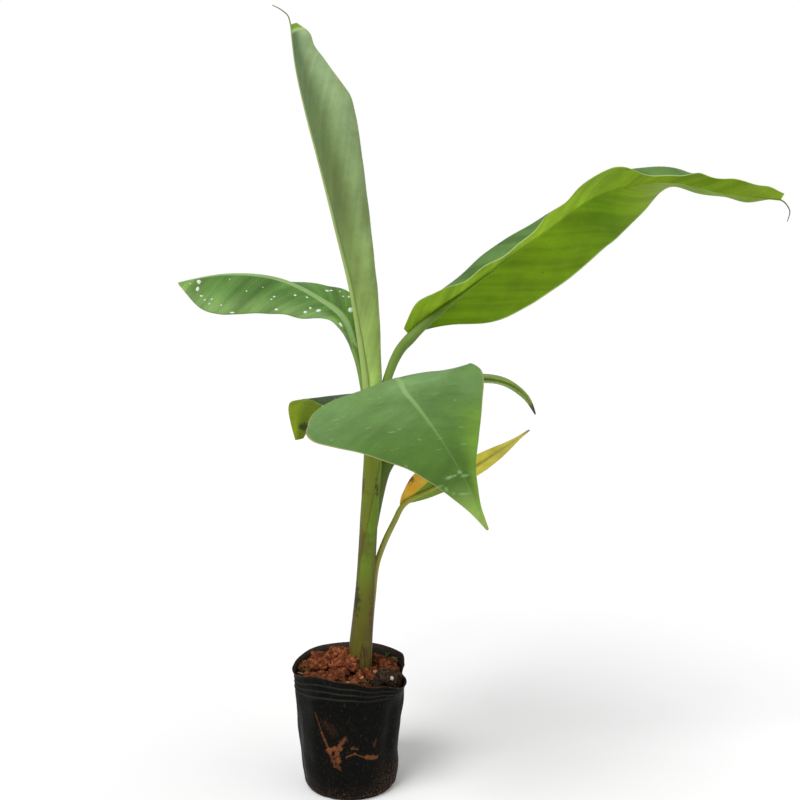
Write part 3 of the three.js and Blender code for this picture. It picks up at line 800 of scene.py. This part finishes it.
def leaf_material(title, upper, under, rib, margin, tip=None, tip_start=1.2, vein=0.07, margin_width=0.03,
                  roughness=(0.38, 0.55), rib_shown=0.75, rib_end=0.35, pleats=0.12, slant=VEIN_SLANT,
                  shine=0.15, extra=None):
    """Leaf tissue: two faces and what is extra on them, mottle, pleats, veins, rib, margins and tip."""
    made, t, shader, spot = new_material(title)
    place, span = t.attribute("place"), t.attribute("span")
    regions = t.use(REGIONS, {"Place": place, "Ribs Out": t.split(span)[2], "Margin Width": margin_width,
                              "Tip Start": tip_start})
    veins = t.use(VEINS, {"Span": span, "Spacing": VEIN_SPACING * MM, "Slant": slant})
    mottle = mottled(t, spot, 22.0)
    colour = t.mix(regions["Upper"], t.ramp(regions["Along"], under), t.ramp(regions["Along"], upper))
    if extra:
        colour = extra(t, colour, regions, spot)
    for mask, low, high in (
        (mottle["Patches"], 0.86, 1.1), (mottle["Grain"], 0.95, 1.05),
        (veins["Pleats"], 1.0 - pleats, 1.0 + pleats * 0.6), (veins["Line"], 1.0, 1.0 + vein),
        (veins["Fine"], 1.0 - vein * 0.35, 1.0),
    ):
        colour = t.tint(colour, mask, low, high)
    strength = t.remap(regions["Along"], 0.15, 0.6, rib_shown, rib_shown * rib_end)
    colour = t.paint(colour, rib, regions["Rib"], strength)
    colour = t.paint(colour, margin, regions["Margin"])
    if tip:
        colour = t.paint(colour, tip, regions["Tip"])
    height = t.plus(veins["Height"], t.times(mottle["Grain"], 0.4))
    finish(t, shader, colour, t.remap(mottle["Patches"], 0, 1, *roughness), height, 0.2, 0.0003, shine)
    return made


# ---- stalks and stem ----
GREEN, OLIVE = (118, 142, 56), (98, 120, 50)
STALK_TISSUES = {  # each material's name, its colours from the foot to the midrib's end, and its patches
    "spear": ("spear leaf stalk", [(0.0, 150, 176, 92), (0.5, 160, 180, 112), (0.88, 150, 170, 100),
                                   (0.93, 120, 112, 58), (1.0, 86, 66, 40)], OLIVE),
    "right": ("sunlit leaf stalk", [(0.0, *GREEN), (0.3, 112, 140, 64), (0.35, 88, 120, 24),
                                    (0.4, 112, 146, 18), (0.9, 118, 146, 20), (0.95, 110, 96, 76),
                                    (1.0, 92, 84, 76)], OLIVE),
    "left": ("pale leaf stalk", [(0.0, 108, 132, 52), (0.36, 112, 140, 68), (0.5, 144, 176, 112),
                                 (0.85, 136, 168, 104), (1.0, 124, 158, 92)], OLIVE),
    "front": ("soft leaf stalk", [(0.0, *GREEN), (0.38, 136, 168, 108), (0.5, 122, 156, 94),
                                  (0.66, 92, 126, 62), (0.82, 74, 106, 42), (0.95, 100, 132, 52),
                                  (1.0, 118, 140, 62)], (92, 124, 60)),
    # The low right sheath's darker middle stops are painted shadow from the front leaf above it.
    "low_right": ("leaf sheath with painted shadow", [(0.0, 92, 112, 30), (0.2, 72, 96, 18), (0.5, 64, 90, 16),
                                       (0.75, 112, 140, 50), (0.9, 116, 140, 54), (1.0, 58, 40, 28)],
                  (70, 74, 24)),
    "back_left": ("green leaf stalk", [(0.0, *GREEN), (0.4, 124, 150, 74), (1.0, 120, 148, 70)], OLIVE),
    "yellow": ("dull leaf stalk", [(0.0, 112, 104, 42), (0.35, 136, 140, 56), (0.6, 144, 150, 58),
                                   (1.0, 170, 160, 66)], (96, 80, 36)),
}
STEM_BANDS = [(-0.3, 0.8, 0.95), (-2.85, 0.75, 0.85)]  # brown bands: angle, half width in radians, strength
STEM_STAINS = [  # centre and size of each stain, and its tone
    ((14.5, -6, 322), (3, 8, 8), (70, 48, 30)), ((29, -6, 318), (2.2, 6, 9), (74, 52, 30)),
    ((7, -6, 203), (4, 9, 20), (44, 34, 18)), ((16, -10, 146), (4, 8, 9), (84, 62, 34)),
    ((9, -10, 262), (2.5, 8, 12), (86, 72, 36)), ((25, -8, 176), (4, 8, 32), (80, 54, 28)),
]
SLIT_TOP, SLIT_ANGLE, SLIT_SPREAD = 0.155, -1.38, 13.0  # in metres, radians, and radians per metre down


def stalk_material(title, stops, patch):
    """A leaf stalk: colours from its foot to the midrib's end, with patches of another tone."""
    made, t, shader, spot = new_material(title)
    mottle = mottled(t, spot, 40.0)
    colour = t.ramp(t.split(t.attribute("place"))[0], stops)
    colour = t.paint(colour, patch, mottle["Patches"], 0.25)
    streaks = t.streaks(spot, 0.08, 900.0, 2)
    colour = t.tint(colour, streaks, 0.9, 1.1)
    finish(t, shader, colour, t.remap(mottle["Grain"], 0, 1, 0.38, 0.55), streaks, 0.25, 0.0003, 0.25)
    return made


def foot_slit(t, colour, spot, turn):
    """The split in the dry foot: two dark edges that part downward, and the paler tissue between them."""
    up = t.split(spot)[2]
    spread = t.times(t.minus(SLIT_TOP, up), SLIT_SPREAD)
    bent = t.times(t.minus(t.noise(spot, 160.0, 3), 0.5), 0.55)
    off = t.minus(t.size(t.plus(t.minus(turn, SLIT_ANGLE), bent)), spread)
    below = t.remap(up, SLIT_TOP + 0.003, SLIT_TOP - 0.001)
    slit = t.times(t.fade(t.size(off), 0.1, 0.02), below)
    colour = t.paint(colour, (98, 78, 42), t.remap(off, 0.02, -0.04), below, 0.4)
    return t.paint(colour, (54, 38, 22), slit, 0.7), slit


def stem_material():
    """Wrapped leaf sheaths: olive green with a fresher strip, brown bands, stains and a dry foot."""
    made, t, shader, spot = new_material("wrapped stem sheaths")
    height, turn, edge = t.split(t.attribute("place"))
    mottle = mottled(t, spot, 34.0)
    streaks = t.streaks(spot, 0.06, 700.0, 3)
    colour = t.ramp(height, [(0.0, 92, 86, 26), (0.22, 89, 90, 25), (0.5, 108, 116, 34), (1.0, 110, 128, 38)])
    start, slope = SHEATH_EDGES[0][:2]
    line = t.plus(start, t.times(t.minus(t.split(spot)[2], STEM_MIDDLE * MM), slope / MM))
    past = t.minus(turn, line)
    colour = t.paint(colour, (98, 128, 34), t.remap(past, -0.04, 0.08), t.fade(past, 2.2, 1.2),
                     t.fade(height, 0.22, 0.42), 0.8)
    colour = t.paint(colour, (84, 70, 34), t.remap(mottle["Patches"], 0.5, 0.95), 0.55)
    low = t.fade(height, 0.75, 0.3)
    for middle, half, strength in STEM_BANDS:
        band = t.fade(t.size(t.minus(turn, middle)), half, 0.05)
        colour = t.paint(colour, (78, 54, 26), band, t.remap(streaks, 0.3, 0.65), low, strength)
    colour = t.paint(colour, (76, 58, 30), t.remap(edge, 0.2, 0.9), 0.8)
    for centre, size, tone in STEM_STAINS:
        colour = t.paint(colour, tone, smear(t, spot, centre, size, 1.5), 0.8)
    colour, slit = foot_slit(t, colour, spot, turn)
    colour = t.tint(colour, streaks, 0.8, 1.16)
    bump = t.minus(t.plus(streaks, mottle["Grain"]), t.times(slit, 2.0))
    finish(t, shader, colour, t.remap(mottle["Grain"], 0, 1, 0.45, 0.62), bump, 0.3, 0.0004, 0.15)
    return made


# ---- film, soil and small things ----
STREAKS = [  # start and end (x, z), half width, raggedness and strength of each soil streak on the film
    ((-33, 96), (-27, 76), 0.8, 1.6, 0.35), ((-27, 76), (-20, 58), 1.3, 1.8, 0.55),
    ((-20, 58), (-14, 40), 1.8, 2.4, 0.45), ((-20, 56), (-8, 60), 3.4, 2.1, 0.75),
    ((-12, 60), (-3, 70), 2.3, 2.4, 0.65), ((-12, 56), (-10, 46), 2.6, 2.4, 0.7),
    ((-14, 50), (-9, 37), 2.0, 3.0, 0.4), ((-2, 51), (7, 55), 1.1, 1.8, 0.55),
    ((7, 55), (18, 50), 1.0, 1.8, 0.5), ((18, 50), (28, 47), 2.6, 1.6, 0.75),
    ((4, 61), (9, 60), 1.6, 2.6, 0.45), ((26, 60), (28, 68), 1.3, 2.6, 0.25),
    ((-24, 86), (-14, 78), 4.4, 3.6, 0.1),
]


def film_material():
    """Black poly film with a dusty grey sheen, fine creases, a faded lip and rust-coloured soil smears."""
    made, t, shader, spot = new_material("black poly film")
    mottle = mottled(t, spot, 26.0)
    lip, weld, inner = t.split(t.attribute("place"))
    side, _, up = t.split(spot)
    colour = t.mix(t.times(mottle["Patches"], 0.6), (3, 3, 2), (11, 11, 9))
    colour = t.paint(colour, (66, 60, 52), inner, t.remap(mottle["Patches"], 0, 1, 0.3, 0.75))
    colour = t.paint(colour, (66, 66, 60), weld, 0.35)
    colour = t.paint(colour, (96, 84, 70), t.remap(t.noise(spot, 420.0, 4, 0.7), 0.56, 0.72), 0.22)
    corner = t.times(t.fade(side, 0.016, 0.046), t.fade(up, 0.05, 0.004))
    corner = t.plus(corner, t.times(t.fade(up, 0.022, 0.0), 0.5))
    colour = t.paint(colour, (150, 104, 72), t.remap(t.noise(spot, 640.0, 5, 0.8), 0.55, 0.62), corner, 0.9)
    faded = t.times(t.remap(t.noise(spot, 150.0, 5, 0.7), 0.5, 0.68), t.remap(lip, 0.0, 1.0, 0.0, 0.6))
    colour = t.paint(colour, (112, 78, 58), t.plus(faded, t.times(lip, 0.25)))
    for (x0, z0), (x1, z1), width, ragged, strength in STREAKS:
        mask = t.use(STREAK, {"Coordinates": spot, "Start": (x0 * MM, 0.0, z0 * MM), "Width": width * MM,
                              "End": (x1 * MM, 0.0, z1 * MM), "Break": ragged})["Mask"]
        colour = t.paint(colour, (128, 76, 42), mask, 0.8 * strength)
    creases = t.streaks(spot, 0.25, 110.0, 5, 0.62)
    bump = t.plus(creases, t.times(mottle["Grain"], 0.15))
    finish(t, shader, colour, t.remap(mottle["Patches"], 0, 1, 0.5, 0.68), bump, 0.5, 0.0016, 0.06)
    return made


def soil_material(title, dark, mid, light, scale=70.0):
    """Crumbly earth in three tones, with painted shade in its hollows and low down in the bag, and painted
    light on the heap's tops.
    """
    made, t, shader, spot = new_material(title)
    mottle = mottled(t, spot, scale)
    crumbs = t.noise(spot, scale * 11, 6, 0.75)
    colour = t.mix(t.fade(t.noise(spot, scale * 3.4, 4, 0.65), 0.42, 0.66), mid, light)
    colour = t.tint(colour, mottle["Patches"], 0.72, 1.12)
    # Painted shade: the dark tone fills the hollows of the crumb bump.
    colour = t.paint(colour, dark, t.remap(crumbs, 0.46, 0.34))
    colour = t.tint(colour, mottle["Grain"], 0.85, 1.15)
    # Painted shade low down and painted light high up, by height.
    colour = t.tint(colour, t.remap(t.split(spot)[2], 0.12, 0.14), 0.45, 1.18)
    finish(t, shader, colour, t.remap(crumbs, 0, 1, 0.85, 1.0), crumbs, 0.8, 0.0012, 0.1)
    return made


def plain_material(title, tone, spread, roughness):
    """A small thing in one tone, mottled."""
    made, t, shader, spot = new_material(title)
    mottle = mottled(t, spot, 300.0)
    colour = t.tint(tone, mottle["Patches"], 1 - spread, 1 + spread)
    rough = t.remap(mottle["Grain"], 0, 1, roughness, roughness + 0.12)
    finish(t, shader, colour, rough, mottle["Grain"], 0.3, 0.0004)
    return made


# ---- the bag ----
BOTTOM_RINGS = (0, 10, 20, 30, 38, 42.5)  # radii of the flat bottom's rings
WELD_DIP, WELD_LOW_SIDE = 3.0, 300  # how much lower the welded ribs run on one side, and its angle
WELD_RISE, WELD_WIDTH = 0.75, 0.9  # how far the welded ribs stand out, and their half width
FOLD_LEAN, FOLD_EASE = 0.08, 12  # degrees that folds lean for each millimetre up, and how softly they end
INNER_ROWS = 17  # rows of the inner wall, from the rim down into the soil
FOLDS = [  # angle round the bag, depth, width in degrees, and the heights between which each fold runs
    (262, -1.6, 10, 20, 118), (285, 1.2, 8, 10, 70), (232, 1.5, 9, 40, 125), (318, -2.2, 9, 25, 95),
    (200, -1.2, 9, 10, 90), (20, -1.6, 12, 30, 100), (60, 1.4, 10, 10, 120), (100, -1.6, 8, 20, 110),
    (140, 1.3, 10, 15, 100), (170, -1.8, 8, 30, 125), (345, 1.4, 7, 85, 124), (246, -0.9, 5, 0, 60),
    (4, -2.8, 26, 32, 84),
]


def round_mouth(values, angle):
    """A smooth value at an angle of a list that runs evenly round the mouth."""
    v = np.array(values, float)
    share = np.mod(angle / (2 * np.pi), 1) * len(v)
    i = np.floor(share).astype(int) % len(v)
    return v[i] + (v[(i + 1) % len(v)] - v[i]) * smooth(0, 1, share - np.floor(share))


def weld_depth(depth, angle):
    """How far below the rim a welded rib runs at an angle."""
    return depth + WELD_DIP * smooth(0, 1, 0.5 - 0.5 * np.cos(angle - math.radians(WELD_LOW_SIDE)))


def film_radius(height, angle):
    """The film's outer radius, with folds and welded ribs."""
    z, r = zip(*BAG_RADII, strict=True)
    radius = np.interp(height, z, r)
    for turn, depth, width, low, high in FOLDS:
        off = np.angle(np.exp(1j * (angle - np.radians(turn + FOLD_LEAN * (height - 60)))))
        fade = smooth(low - FOLD_EASE, low + FOLD_EASE, height)
        fade = fade * (1 - smooth(high - FOLD_EASE, high + FOLD_EASE, height))
        radius = radius + depth * fade * np.exp(-((off / math.radians(width)) ** 2))
    for depth in WELD_DEPTHS:
        off = (height - RIM + weld_depth(depth, angle)) / WELD_WIDTH
        radius = radius + WELD_RISE * np.exp(-(off**2))
    return radius


def outer_film(turns, heights):
    """Rows of points up the outside of the film, to its uneven turned-out mouth."""
    top, reach = round_mouth(RIM_HEIGHTS, turns), round_mouth(RIM_REACH, turns)
    sag = ring_noise(turns, 2.2, 7)
    rows = []
    for height in heights:
        past = max(height - BODY_TOP, 0) / (RIM - BODY_TOP)
        z = min(height, BODY_TOP) + past * (top - BODY_TOP)
        radius = film_radius(z, turns) + 1.3 * ring_noise(turns, 2.6, height / 26) * smooth(2, 20, height)
        radius = radius + 0.5 * sag * smooth(60, 130, height) + reach * smooth(92, 130, height)
        radius = np.minimum(radius, np.interp(height, [0, 5], [45, 66])) + 1.6 * smooth(127, RIM, height)
        rows.append(np.stack([radius * np.cos(turns), radius * np.sin(turns), z], -1))
    return rows


def add_bag(material):
    """The film bag: its flat bottom, the outside up to the rim, and the inside down into the soil."""
    turns = ring_turns(BAG_SIDES)
    heights = np.concatenate([[0.6, 1.8, 3.2, 5], np.linspace(7, BODY_TOP, 90), np.linspace(101, RIM, 63)])
    bottom = [np.stack([r * np.cos(turns), r * np.sin(turns), 0 * turns], -1) for r in BOTTOM_RINGS]
    outer = outer_film(turns, heights)
    inner = []
    for row in outer[::-2][:INNER_ROWS]:
        pull = 1 - FILM / np.hypot(row[:, 0], row[:, 1])
        inner.append(np.stack([row[:, 0] * pull, row[:, 1] * pull, row[:, 2]], -1))
    rows = np.array([*bottom, *outer, *inner])
    far = np.full(len(bottom), RIM)
    deep = np.concatenate([far, RIM - heights, (RIM - heights)[::-2][:INNER_ROWS]])[:, None]
    lip = np.exp(-((deep / 1.1) ** 2)) * np.ones(len(turns))
    weld = np.zeros(lip.shape)
    for depth in WELD_DEPTHS:
        weld = np.maximum(weld, np.exp(-(((deep - weld_depth(depth, turns)) / 0.7) ** 2)))
    inside = np.zeros(lip.shape)
    inside[1 - INNER_ROWS:] = 1
    places = np.stack([lip, weld, inside], -1).reshape(-1, 3)
    faces = grid_faces(len(rows), len(turns), closed=True, turned=True)
    return piece("film_bag", rows.reshape(-1, 3), faces, material, places, slot="black_film",
                 replaces=["grow_bag"])


# ---- the soil ----
HEAP = [  # place and radius of each clod
    ((-11, 1, 140), 10), ((1, -14, 135), 9.5), ((-32, -9, 130), 11), ((-39, -24, 124), 7.5),
    ((-34, 21, 128), 8.5), ((-13, -28, 126), 9), ((35, 5, 125), 8), ((-20, 10, 130), 12),
    ((-13, -10, 130), 11), ((-25, -24, 123), 8), ((12, -24, 122), 6), ((28, 20, 124), 9),
    ((-18, 28, 127), 10), ((10, 28, 124), 10), ((42, 18, 123), 7), ((-47, 6, 124), 7),
    ((-3, -40, 121), 6), ((9, -38, 121), 5), ((25, -8, 122), 6),
]
STONES = [  # place, radius, seed and flatness
    ((-1, -46, 125.5), 3.8, 31, 0.5), ((20, -16, 126), 2.6, 32), ((27, -13, 126), 2.0, 33),
    ((-24, 38, 126), 2.0, 35), ((13, -30, 126), 2.2, 36), ((-12, -44, 125), 1.8, 37),
]
CHALK_FLECKS = [((44, -36.5, 128), 2.0, 34), ((40, -38, 127), 1.0, 38)]  # place, radius and seed
DARK_CLODS = [  # place, radius, seed and detail
    ((38, -27, 124), 12, 41, 5), ((28, -33, 121), 7, 42, 4), ((47, -16, 122), 7, 43, 4),
]
BED_REACH, BED_GAP = 52, 1.8  # how far out crumbs lie, and from the film's outside to the bed's edge
SPROUTS = [  # foot, lean and height of each seedling
    ((-46, 6, 122), (-3, 2), 5), ((37, 24, 127), (2, 0), 6), ((45, 14, 127), (3, -2), 5),
    ((20, -40, 123), (-2, -3), 5), ((-48, -12, 125), (2, -3), 5),
]


def lump(centre, radius, seed, flatness=0.85, detail=3, rough=0.42, cuts=0):
    """A noisy ball of earth, blocky where it is cut: vertices and faces."""
    ball = bmesh.new()
    bmesh.ops.create_icosphere(ball, subdivisions=detail, radius=1.0)
    points = np.array([v.co[:] for v in ball.verts])
    faces = [[v.index for v in f.verts] for f in ball.faces]
    ball.free()
    pick = random.Random(seed)
    for _ in range(cuts):
        normal = unit(np.array([pick.gauss(0, 1) for _ in range(3)]))
        points = points - 0.85 * np.maximum(points @ normal - 0.68, 0)[:, None] * normal
    swell = wavy(points, 0.85, seed) + 0.7 * np.abs(wavy(points, 0.42, seed + 9))
    swell += 0.4 * wavy(points, 0.2, seed + 17) + 0.26 * wavy(points, 0.09, seed + 25)
    points = points * (1 + rough * swell)[:, None] * radius * np.array([1, 1, flatness])
    return points + np.asarray(centre), faces


def joined(lumps):
    """Many lumps as one mesh's vertices and faces."""
    vertices, faces = [], []
    count = 0
    for points, corners in lumps:
        vertices.append(points)
        faces += [[i + count for i in f] for f in corners]
        count += len(points)
    return np.concatenate(vertices), faces


def soil_level(x, y):
    """Height of the soil's bed: a low mound that sinks a little towards the film."""
    out = np.hypot(x, y)
    return SOIL_TOP + 4 * (1 - smooth(0, 45, out)) - 2.0 * smooth(40, 57, out)


def add_soil_bed(material):
    """The uneven top of the soil, just inside the film, and its skirt down into the bag."""
    turns, shares = ring_turns(BED_SIDES), np.linspace(0.01, 1, BED_ROWS)
    edge = film_radius(116.0, turns) + 0.8 * np.minimum(round_mouth(RIM_REACH, turns), 0) - BED_GAP
    x, y = shares[:, None] * edge * np.cos(turns), shares[:, None] * edge * np.sin(turns)
    bed = np.stack([x, y, soil_level(x, y)], -1).reshape(-1, 3)
    bed[:, 2] += 2.0 * wavy(bed, 9, 3) + 1.3 * wavy(bed, 3.5, 5) + 0.6 * wavy(bed, 1.5, 8)
    skirt = bed[-len(turns):] * np.array([1, 1, 0]) * 0.9 + np.array([0, 0, 60])
    faces = grid_faces(len(shares) + 1, len(turns), closed=True)
    piece("soil_bed", np.concatenate([bed, skirt]), faces, material, slot="red_soil", replaces=["root_ball"])


def heap_crumbs():
    """Small crumbs stuck on the heap's clods, clear of the stem."""
    crumbs = []
    for (x, y, z), radius in HEAP:
        for _ in range(int(0.9 * radius)):
            turn, rise = random.uniform(0, 2 * math.pi), random.uniform(-0.1, 1.0)
            flat = math.sqrt(1 - rise * rise)
            small = random.choice((0.9, 1.3, 1.8, 2.6))
            out = radius * random.uniform(0.88, 1.02)
            spot = (x + out * flat * math.cos(turn), y + out * flat * math.sin(turn), z + 0.8 * out * rise)
            if math.hypot(spot[0] - STEM_FOOT - 0.5, spot[1]) > 13 + small:
                crumbs.append(lump(spot, small, 900 + len(crumbs), detail=2 if small > 1.5 else 1))
    return crumbs


def bed_crumbs(count, first_seed, pick_radius, fits, raised, detail, cuts):
    """Crumbs strewn over the bed where they fit. fits takes the stem's distance, the reach and the radius."""
    crumbs = []
    for i in range(count):
        turn, out = random.uniform(0, 2 * math.pi), BED_REACH * math.sqrt(random.random())
        radius = pick_radius()
        x, y = out * math.cos(turn), out * math.sin(turn)
        if fits(math.hypot(x - STEM_FOOT, y), out, radius):
            place = (x, y, float(soil_level(x, y)) + radius * raised)
            crumbs.append(lump(place, radius, first_seed + i, detail=detail, cuts=cuts))
    return crumbs


def shoot(base, top, radius):
    """A thin tapering shoot between two points."""
    base, top = np.array(base, float), np.array(top, float)
    t = np.linspace(0, 1, 8)[:, None]
    bend = np.array([0, 0, 1.0]) * np.sin(np.pi * t) * 0.15 * np.linalg.norm(top - base)
    centres = base + (top - base) * t + bend
    ahead = unit(np.gradient(centres, axis=0))
    side = unit(np.cross(ahead, np.array([0.3, 0.9, 0.1])))
    vertices, faces = tube(centres, side, np.cross(side, ahead), radius * (1.05 - t[:, 0]), count=6)
    return vertices, [list(f) for f in faces]


def sprouts():
    """Seedlings of three shoots each."""
    made = []
    for (x, y, z), (lean_x, lean_y), tall in SPROUTS:
        for turn in (0, 2.1, 4.2):
            top = (x + lean_x + 3 * math.cos(turn), y + lean_y + 3 * math.sin(turn), z + tall)
            made.append(shoot((x, y, z), top, 0.9))
    return made


def straws():
    """Bits of dry straw on the left of the bed."""
    made = []
    for _ in range(16):
        turn, out = random.uniform(2.6, 4.2), random.uniform(30, 50)
        x, y = out * math.cos(turn), out * math.sin(turn)
        z = float(soil_level(x, y)) + 1.5
        top = (x + random.uniform(-8, 8), y + random.uniform(-6, 6), z + random.uniform(0.5, 3))
        made.append(shoot((x, y, z), top, 0.5))
    return made


def add_soil():
    """The soil's bed, the heaped clods, the crumbs and the small things that lie in them."""
    random.seed(12)
    red = soil_material("red earth clods", (34, 17, 11), (97, 48, 28), (158, 94, 58))
    # The bed's tones are darker than the clods', as painted shade in the gaps between them.
    add_soil_bed(soil_material("red earth bed", (24, 14, 10), (60, 34, 22), (96, 56, 36)))
    clods = [lump(place, radius * 1.08, 1 + i, detail=5, rough=0.34, cuts=11)
             for i, (place, radius) in enumerate(HEAP)]
    crumbs = heap_crumbs()
    crumbs += bed_crumbs(90, 20, lambda: random.choice((2.2, 2.8, 3.5, 4.5, 6.0)),
                         lambda away, out, radius: away >= 12 + radius and out + radius <= BED_REACH + 0.5,
                         0.45, 3, 6)
    crumbs += bed_crumbs(320, 300, lambda: random.uniform(0.5, 1.5),
                         lambda away, out, radius: away >= 13.5, 0.9, 1, 0)
    pebble = plain_material("pale pebbles", (168, 122, 84), 0.25, 0.7)
    chalk = plain_material("chalk white", (172, 164, 156), 0.2, 0.7)
    dark = soil_material("dark earth", (18, 13, 10), (48, 36, 27), (94, 74, 56))
    green = plain_material("seedling green", (62, 92, 34), 0.25, 0.5)
    straw = plain_material("dry straw", (176, 150, 112), 0.2, 0.8)
    for title, lumps, material, slot in (
        ("soil_clods", clods, red, "red_soil"), ("soil_crumbs", crumbs, red, "red_soil"),
        ("pale_stones", [lump(*stone) for stone in STONES], pebble, "red_soil"),
        ("pale_fleck", [lump(*fleck) for fleck in CHALK_FLECKS], chalk, "red_soil"),
        ("dark_clod", [lump(*clod, detail=detail) for *clod, detail in DARK_CLODS], dark, "red_soil"),
        ("green_sprouts", sprouts(), green, "petiole_green"), ("dry_bits", straws(), straw, "red_soil"),
    ):
        piece(title, *joined(lumps), material, slot=slot)


# ---- the stem ----
def add_stem(material):
    """The pseudostem: sheaths wrapped round each other, each with a raised slanting edge."""
    u = np.linspace(0, 1, STEM_ROWS)
    centres, radius = along(STEM["line"], u), along(STEM["radii"], u)[:, None]
    turns = ring_turns(STEM_SIDES) - np.pi
    height = centres[:, 2][:, None]
    step, edge = np.zeros((2, STEM_ROWS, STEM_SIDES))
    for start, slope, lift, low, high in SHEATH_EDGES:
        off = np.mod(turns[None, :] - (start + slope * (height - STEM_MIDDLE)), 2 * np.pi)
        fade = smooth(low - 20, low + 20, height) * (1 - smooth(high - 15, high + 15, height))
        step += lift * fade * np.maximum(0, 1 - off / SHEATH_REACH)
        edge = np.maximum(edge, fade * np.exp(-((off / EDGE_WIDTH) ** 2)))
    foot = 0.8 * np.exp(-(height - STEM_CUT) / 12)
    rough = 0.25 * np.array([ring_noise(turns, 2, z / 30) for z in centres[:, 2]])
    skin = radius + step + foot + rough - 0.5
    x, y = centres[:, :1] + skin * np.cos(turns), centres[:, 1:2] + skin * np.sin(turns)
    vertices = np.stack([x, y, np.broadcast_to(height, x.shape)], -1).reshape(-1, 3)
    places = np.stack([np.broadcast_to(u[:, None], x.shape), np.broadcast_to(turns, x.shape), edge], -1)
    vertices = np.concatenate([vertices, centres[:1], centres[-1:]])
    places = np.concatenate([places.reshape(-1, 3), [[0, 0, 0], [1, 0, 0]]])
    return piece("wrapped_stem", vertices, capped_faces(STEM_ROWS, STEM_SIDES), material, places,
                 slot="stem_sheath", replaces=["pseudostem"])


# ---- build ----
BLADE_SETTINGS = {  # ripples of the left and right margins, slow ruffles, and what makes each blade its own
    "spear": dict(ripple=(0.3, 0.3), ruffle=0.5, seed=1.0),
    "right": dict(ripple=(0.5, 3.0), ruffle=0.7, seed=2.0, rows=340),
    "left": dict(ripple=(0.8, 0.6), ruffle=1.0, seed=3.0),
    "front": dict(ripple=(0.5, 0.5), ruffle=1.2, seed=4.0, cells=34),
    "low_right": dict(ripple=(0.4, 0.4), ruffle=0.6, seed=5.0),
    "back_left": dict(ripple=(0.8, 0.8), ruffle=1.2, seed=6.0),
    "yellow": dict(ripple=(0.5, 0.5), ruffle=0.7, seed=7.0),
}


def build():
    for name, leaf in LEAVES.items():
        add_blade(name, leaf, leaf_material(**LEAF_TISSUES[name]), **BLADE_SETTINGS[name])
        add_stalk(name, leaf, stalk_material(*STALK_TISSUES[name]))
    add_flecks("white_spots", "left", WHITE_SPOTS, plain_material("white crust", (214, 222, 208), 0.1, 0.7),
               1, "spotted_leaf")
    add_flecks("dark_specks", "right", DARK_SPECKS, plain_material("dark speck", (40, 34, 18), 0.2, 0.7),
               -1, "sunlit_leaf")
    add_stem(stem_material())
    add_bag(film_material())
    add_soil()


# ---- floor, light and camera ----
FLOOR_REACH = 6.0  # metres each way
SUNS = [("key light", (0.45, 0.6, -1.0), 2.3, 35), ("fill light", (-0.7, 0.3, -0.5), 0.6, 60)]
CAMERA_PLACE, CAMERA_DIP, LENS, SENSOR = (0.0524, -1.2, 0.59), 8.6, 54.0, 36.0


def add_floor():
    """A plain pale floor under everything."""
    floor = bpy.data.meshes.new("floor")
    corners = [(x * FLOOR_REACH, y * FLOOR_REACH, 0) for x, y in ((-1, -1), (1, -1), (1, 1), (-1, 1))]
    floor.from_pydata(corners, [], [(0, 1, 2, 3)])
    made, t, shader, spot = new_material("pale floor")
    finish(t, shader, t.mix(t.noise(spot, 3.0), [0.86, 0.86, 0.86, 1], [0.9, 0.9, 0.9, 1]), 0.9)
    floor.materials.append(made)
    new_object("floor", floor)


def add_light():
    """A white room that lights softly, and two wide suns. Each sun has its aim, strength and spread."""
    world = bpy.data.worlds.new("soft room")
    bpy.context.scene.world = world
    world.use_nodes = True
    room = Tree(world.node_tree)
    seen = room.add("ShaderNodeLightPath").outputs["Is Camera Ray"]
    background = world.node_tree.nodes["Background"]
    background.inputs[0].default_value = (1.0, 1.0, 1.0, 1)
    room.put(room.remap(seen, 0, 1, 0.5, 1.0), background.inputs[1])
    for name, aim, power, spread in SUNS:
        lamp = bpy.data.lights.new(name, "SUN")
        lamp.angle, lamp.energy = math.radians(spread), power
        new_object(name, lamp).rotation_euler = Vector(aim).to_track_quat("-Z", "Y").to_euler()


def add_camera():
    """The photo's view, and colours shown as they are."""
    lens = bpy.data.cameras.new("camera")
    lens.lens, lens.sensor_width = LENS, SENSOR
    camera = new_object("camera", lens)
    camera.location = CAMERA_PLACE
    camera.rotation_euler = (math.radians(90 - CAMERA_DIP), 0, 0)
    bpy.context.scene.camera = camera
    bpy.context.scene.view_settings.view_transform = "Standard"


build()
add_floor()
add_light()
add_camera()
bpy.context.view_layer.update()
